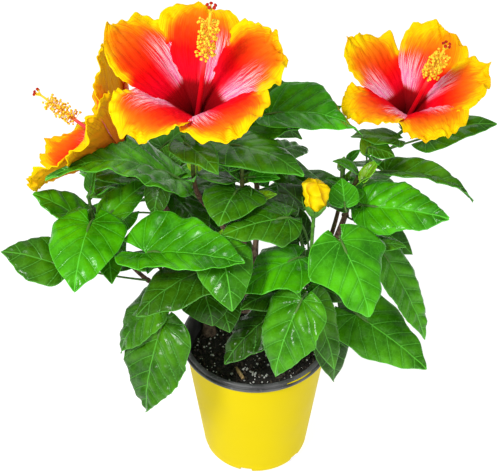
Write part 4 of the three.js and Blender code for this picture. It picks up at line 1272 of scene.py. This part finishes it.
def add_calyx(piece, foot, axis, length, radius, sepal, flare):
    """A green cup with pointed sepals at its brim and narrow bracts at its foot."""
    x, y, z = frame_along(axis)
    shares = np.linspace(0, 1, 12)
    radii = between(CALYX_FOOT_RADIUS, radius, np.minimum(1, 1.4 * shares) ** 0.7)
    piece.add(tube(foot + np.outer(shares * length, z), radii, 20))
    for angle in ring(SEPALS) + 0.6 * math.pi / SEPALS:
        out = spoke(x, y, angle)
        base = foot + 0.75 * length * z + (radius - 0.5) * out
        add_blade(piece, base, unit(z + flare * out), -unit(out - flare * z), sepal, 1.3 * radius,
                  -0.5, 0.2)
    for angle in ring(BRACTS):
        out = spoke(x, y, angle)
        add_blade(piece, foot + 3 * z + CALYX_FOOT_RADIUS * out, unit(z + 0.9 * out),
                  unit(out - 0.9 * z), 9, 2.2, 0.8, 0.1)


def add_flower_stalk(piece, start, lead, foot, axis):
    """A flower's stalk, swollen at its root and at the joint where it would drop."""
    line = Curve([start, *lead, foot + 2 * FLOWER_STALK_RADIUS * axis])
    shares = np.linspace(0, 1, 40)
    radii = FLOWER_STALK_RADIUS + 0.45 * bell(shares, 0.72, 0.02) + 0.6 * bell(shares, 0, 0.03)
    piece.add(tube(line.at(shares), radii, 10))


def build_blooms():
    columns = Piece("columns", [column_paint()], ["rise"])
    anthers, stigmas, greens = (Piece(name, [plain_paint(*paint)]) for name, paint in (
        ("anthers", ("anther", (0.92, 0.56, 0.01), (0.98, 0.78, 0.06), 600, 0.7)),
        ("stigmas", ("stigma", (0.35, 0.006, 0.002), (0.62, 0.03, 0.008), 700, 0.75)),
        ("calyxes", ("calyx", (0.06, 0.20, 0.02), (0.13, 0.36, 0.04), 130, 0.5))))
    paints = [petal_paint(), petal_back_paint()]
    for name, bloom in BLOOMS.items():
        random = np.random.default_rng(bloom.seed)
        axes = frame_along(bloom.axis)
        petals = Piece(f"petals_{name}", paints, ["reach", "across", "edge"])
        for petal in bloom.petals:
            add_petal(petals, bloom, axes, petal, random)
        petals.make("petal", [f"bloom_{name}"])
        add_column(columns, anthers, stigmas, bloom, axes, random)
        foot = bloom.at - CALYX_LENGTH * axes[2]
        add_calyx(greens, foot, axes[2], CALYX_LENGTH - CLAW_DEPTH, CALYX_RADIUS, 12, 0.5)
        start = SHOOTS[bloom.shoot].leafy(bloom.leaves_at)
        add_flower_stalk(greens, start, bloom.lead, foot, axes[2])
    build_bud(greens)
    columns.make("petal")
    anthers.make("bud")
    stigmas.make("petal")
    greens.make("leaf")


def build_bud(greens):
    """Crumpled petals rolled round each other into a squarish yellow bud, in a green calyx."""
    x, y, z = frame_along(BUD.axis)
    random = np.random.default_rng(14)
    h = np.linspace(0, 1, BUD_ROWS)[:, None]
    turn = ring(BUD_SIDES)[None]
    profile = np.interp(h, *zip(*BUD_PROFILE))
    rolls = (4 * turn / (2 * math.pi) + 0.9 * h) % 1
    squarer = 1 + 0.12 * np.cos(4 * turn + 0.6) * smooth(h, 0.3, 0.7)
    radius = BUD.radius * profile * squarer * (0.88 + 0.13 * rolls ** 1.5)
    crumple = ripples(BUD.radius * np.cos(turn), BUD.radius * np.sin(turn) + BUD.length * h,
                      random, 5, 12, 8)
    corner = bell(np.cos(turn - math.radians(165)), 1, 0.25) * smooth(h, 0.72, 0.92)
    radius = (radius + 0.8 * crumple * smooth(h, 0.2, 0.5) * (1 - smooth(h, 0.9, 1))
              + 1.6 * corner)
    lift = BUD.length * h + 3.2 * corner + 1.0 * crumple * smooth(h, 0.8, 0.97)
    places = laid_out(BUD.at, (lift, radius * np.cos(turn), radius * np.sin(turn)), (z, x, y))
    petals = Piece("bud_petals", [bud_paint()], ["fold"])
    petals.add((places.reshape(-1, 3), capped(BUD_ROWS, BUD_SIDES)), fold=rolls.ravel())
    petals.make("bud", ["bud_yellow"])
    add_calyx(greens, np.array(BUD.at), z, BUD_CALYX_LENGTH, BUD_CALYX_RADIUS, 11, 0.42)
    add_flower_stalk(greens, SHOOTS[BUD.shoot].leafy(1), [], np.array(BUD.at), z)


def flank(z):
    """The pot's outer radius at a height on its straight flank."""
    return between(BASE_RADIUS, WALL_TOP_RADIUS, (z - BASE_CORNER) / (WALL_TOP - BASE_CORNER))


def wall_side(inset, floor):
    """One side of the pot's wall in profile: its rounded foot, then its straight flank."""
    radius = BASE_CORNER - floor
    foot = [[BASE_RADIUS - inset - radius * (1 - math.sin(a)), BASE_CORNER - radius * math.cos(a)]
            for a in np.linspace(0, math.pi / 2, 10)]
    return foot + [[flank(z) - inset, z] for z in np.linspace(BASE_CORNER, WALL_TOP, 24)[1:]]


def collar(z):
    """The outer radius at a height of the grey collar inside the wall."""
    return flank(z) - WALL - COLLAR_PLAY


def build_pot():
    profile = [[2, 0], [BASE_RADIUS - BASE_CORNER - 14, 0], *wall_side(0, 0),
               *wall_side(WALL, FLOOR)[::-1], [2, FLOOR]]
    wall = Piece("pot_flank", [pot_paint()])
    wall.add(outward((lathe(profile, POT_SIDES), capped(len(profile), POT_SIDES))))
    cut_slots(wall.make("pot", ["pot_wall"]))

    beads = Curve([
        [collar(WALL_TOP) + 0.6, WALL_TOP + 0.2], [LIP_RADIUS - 0.9, WALL_TOP + 0.3],
        [LIP_RADIUS, WALL_TOP + 1.9], [LIP_RADIUS - 0.6, WALL_TOP + 3.5],
        [LIP_RADIUS - 2.3, WALL_TOP + 3.9], [LIP_RADIUS - 2.5, WALL_TOP + 4.6],
        [LIP_RADIUS - 2.2, WALL_TOP + 5.9], [LIP_RADIUS - 3.3, POT_HEIGHT - 0.5],
        [LIP_RADIUS - 5.0, POT_HEIGHT], [LIP_RADIUS - 6.4, POT_HEIGHT - 1.0],
        [collar(WALL_TOP) - RIM_WALL, WALL_TOP]])
    foot = SOIL_TOP - COLLAR_SINK
    profile = [*beads.at(np.linspace(0, 1, 60)), [collar(foot) - RIM_WALL, foot],
               [collar(foot), foot]]
    last = (len(profile) - 1) * POT_SIDES + np.arange(POT_SIDES)
    first = np.arange(POT_SIDES)
    join = np.stack([last, first, np.roll(first, -1), np.roll(last, -1)], -1)
    rim = Piece("pot_collar", [rim_paint()])
    rim.add(outward((lathe(profile, POT_SIDES), [grid(len(profile), POT_SIDES, True), join])))
    made = rim.make("rim", ["pot_rim"])
    made.data.set_sharp_from_angle(angle=math.radians(50))

    # The yellow wall's edge shows through a crescent slot between the two beads.
    turns = np.radians(np.linspace(-66, -43, 40))
    line = np.stack([(LIP_RADIUS - 2.1) * np.cos(turns), (LIP_RADIUS - 2.1) * np.sin(turns),
                     np.full(40, WALL_TOP + 4.5)], -1)
    sliver = Piece("pot_sliver", [pot_paint()])
    sliver.add(tube(line, 0.75 * np.sin(np.linspace(0.05, math.pi - 0.05, 40)) ** 0.5, 8))
    sliver.make("pot")


def cut_slots(wall):
    """Drain slots cut through the foot of the wall."""
    signs = np.array([[i, j, k] for i in (-1, 1) for j in (-1, 1) for k in (-1, 1)])
    faces = np.array([[0, 1, 3, 2], [4, 6, 7, 5], [0, 4, 5, 1], [2, 3, 7, 6], [0, 2, 6, 4],
                      [1, 5, 7, 3]])
    cutter = Piece("drain_cutter", [])
    for angle in ring(DRAIN_SLOTS) + DRAIN_FIRST_TURN:
        out = np.array([math.cos(angle), math.sin(angle), 0])
        axes = [DRAIN_DEPTH / 2 * out, DRAIN_WIDTH / 2 * np.cross([0, 0, 1], out),
                [0, 0, DRAIN_HEIGHT]]
        cutter.add((BASE_RADIUS * out + signs @ axes, [faces]))
    made = cutter.make("pot")
    modifier = wall.modifiers.new("slots", "BOOLEAN")
    modifier.operation = "DIFFERENCE"
    modifier.object = made
    modifier.solver = "EXACT"
    bpy.context.view_layer.update()
    graph = bpy.context.evaluated_depsgraph_get()
    result = bpy.data.meshes.new_from_object(wall.evaluated_get(graph))
    wall.modifiers.clear()
    wall.data = result
    result.set_sharp_from_angle(angle=math.radians(40))
    bpy.data.objects.remove(made)


def soil_height(x, y):
    place = Vector((x, y, 0.0))
    lumps = noise.noise(place * 0.11) * 1.6 + noise.noise(place * 0.45) * 0.9
    return SOIL_TOP + lumps + noise.noise(place * 1.3) * 0.5


def add_chip(piece, centre, size, random, look, lengthen):
    """A small broken lump."""
    points, faces = ball(centre, size, 4, 6, lengthen, random.normal(size=3))
    shift = random.uniform(0.7, 1.25, (len(points), 1))
    piece.add((np.asarray(centre) + (points - centre) * shift, faces), look)


def build_soil():
    edge = flank(SOIL_TOP) - WALL - RIM_WALL - 0.8
    top = lathe([[r, 0] for r in np.linspace(0.3, edge, SOIL_ROWS)], SOIL_SIDES)
    top[:, 2] = [soil_height(x, y) for x, y, _ in top]
    below = lathe([[edge, SOIL_TOP - 6], [BASE_RADIUS - 12, FLOOR + 1]], SOIL_SIDES)
    bed = Piece("soil_bed", [soil_paint()])
    bed.add(outward((np.concatenate([top, below]), capped(SOIL_ROWS + 2, SOIL_SIDES))))
    bed.make("soil", ["potting_soil"])

    random = np.random.default_rng(5)
    chips = Piece("soil_chips", [
        plain_paint("bark_chip", (0.010, 0.009, 0.008), (0.105, 0.082, 0.064), 260, 0.9),
        plain_paint("perlite", (0.62, 0.60, 0.56), (0.95, 0.94, 0.90), 300, 0.9),
        plain_paint("straw", (0.32, 0.19, 0.07), (0.66, 0.45, 0.20), 240, 0.8)])
    for i in range(CHIPS):
        r, a = (edge - 2) * math.sqrt(random.random()), random.uniform(0, 2 * math.pi)
        x, y = r * math.cos(a), r * math.sin(a)
        look = int(i % PERLITE_EVERY == 0)
        size = random.uniform(0.5, 1.5) if look else random.uniform(0.6, 2.1)
        add_chip(chips, [x, y, soil_height(x, y) + 0.3 * size], size, random, look,
                 1.0 if look else random.uniform(1.0, 2.4))
    chips.add(tube(STRAW["path"], STRAW["radii"], 9), 2)
    chips.make("soil")


def build_stage():
    mesh = bpy.data.meshes.new("floor")
    corners = [(FLOOR_HALF * x, FLOOR_HALF * y, 0) for x, y in ((-1, -1), (1, -1), (1, 1), (-1, 1))]
    mesh.from_pydata(corners, [], [(0, 1, 2, 3)])
    floor = bpy.data.objects.new("floor", mesh)
    bpy.context.scene.collection.objects.link(floor)
    paint = Paint("pale_floor", Roughness=0.9, Specular_IOR_Level=0.1)
    paint.set("Base Color", (0.35, 0.35, 0.35, 1))
    paint.set("Emission Color", (1, 1, 1, 1))
    paint.set("Emission Strength", FLOOR_GLOW)
    mesh.materials.append(paint.material)


def area_light(name, place, size, power):
    light = bpy.data.lights.new(name, "AREA")
    light.shape = "DISK"
    light.size = size
    light.energy = power
    lamp = bpy.data.objects.new(name, light)
    lamp.location = place
    heading = Vector(LIGHT_TARGET) - Vector(place)
    lamp.rotation_euler = heading.to_track_quat("-Z", "Y").to_euler()
    bpy.context.scene.collection.objects.link(lamp)


def build_studio():
    """Camera, lights and background."""
    scene = bpy.context.scene
    camera = bpy.data.cameras.new("camera")
    camera.sensor_width = SENSOR_WIDTH
    camera.lens = LENS
    eye = bpy.data.objects.new("camera", camera)
    eye.location = EYE
    eye.rotation_euler = (math.radians(90 - EYE_TILT), 0, 0)
    scene.collection.objects.link(eye)
    scene.camera = eye
    world = bpy.data.worlds.new("studio")
    world.use_nodes = True
    background = world.node_tree.nodes["Background"]
    background.inputs["Color"].default_value = (1, 1, 1, 1)
    background.inputs["Strength"].default_value = WORLD_STRENGTH
    scene.world = world
    scene.view_settings.view_transform = "Standard"
    for name, light in LIGHTS.items():
        area_light(name, **light)


build_pot()
build_soil()
build_limbs()
build_foliage()
build_blooms()
build_stage()
build_studio()
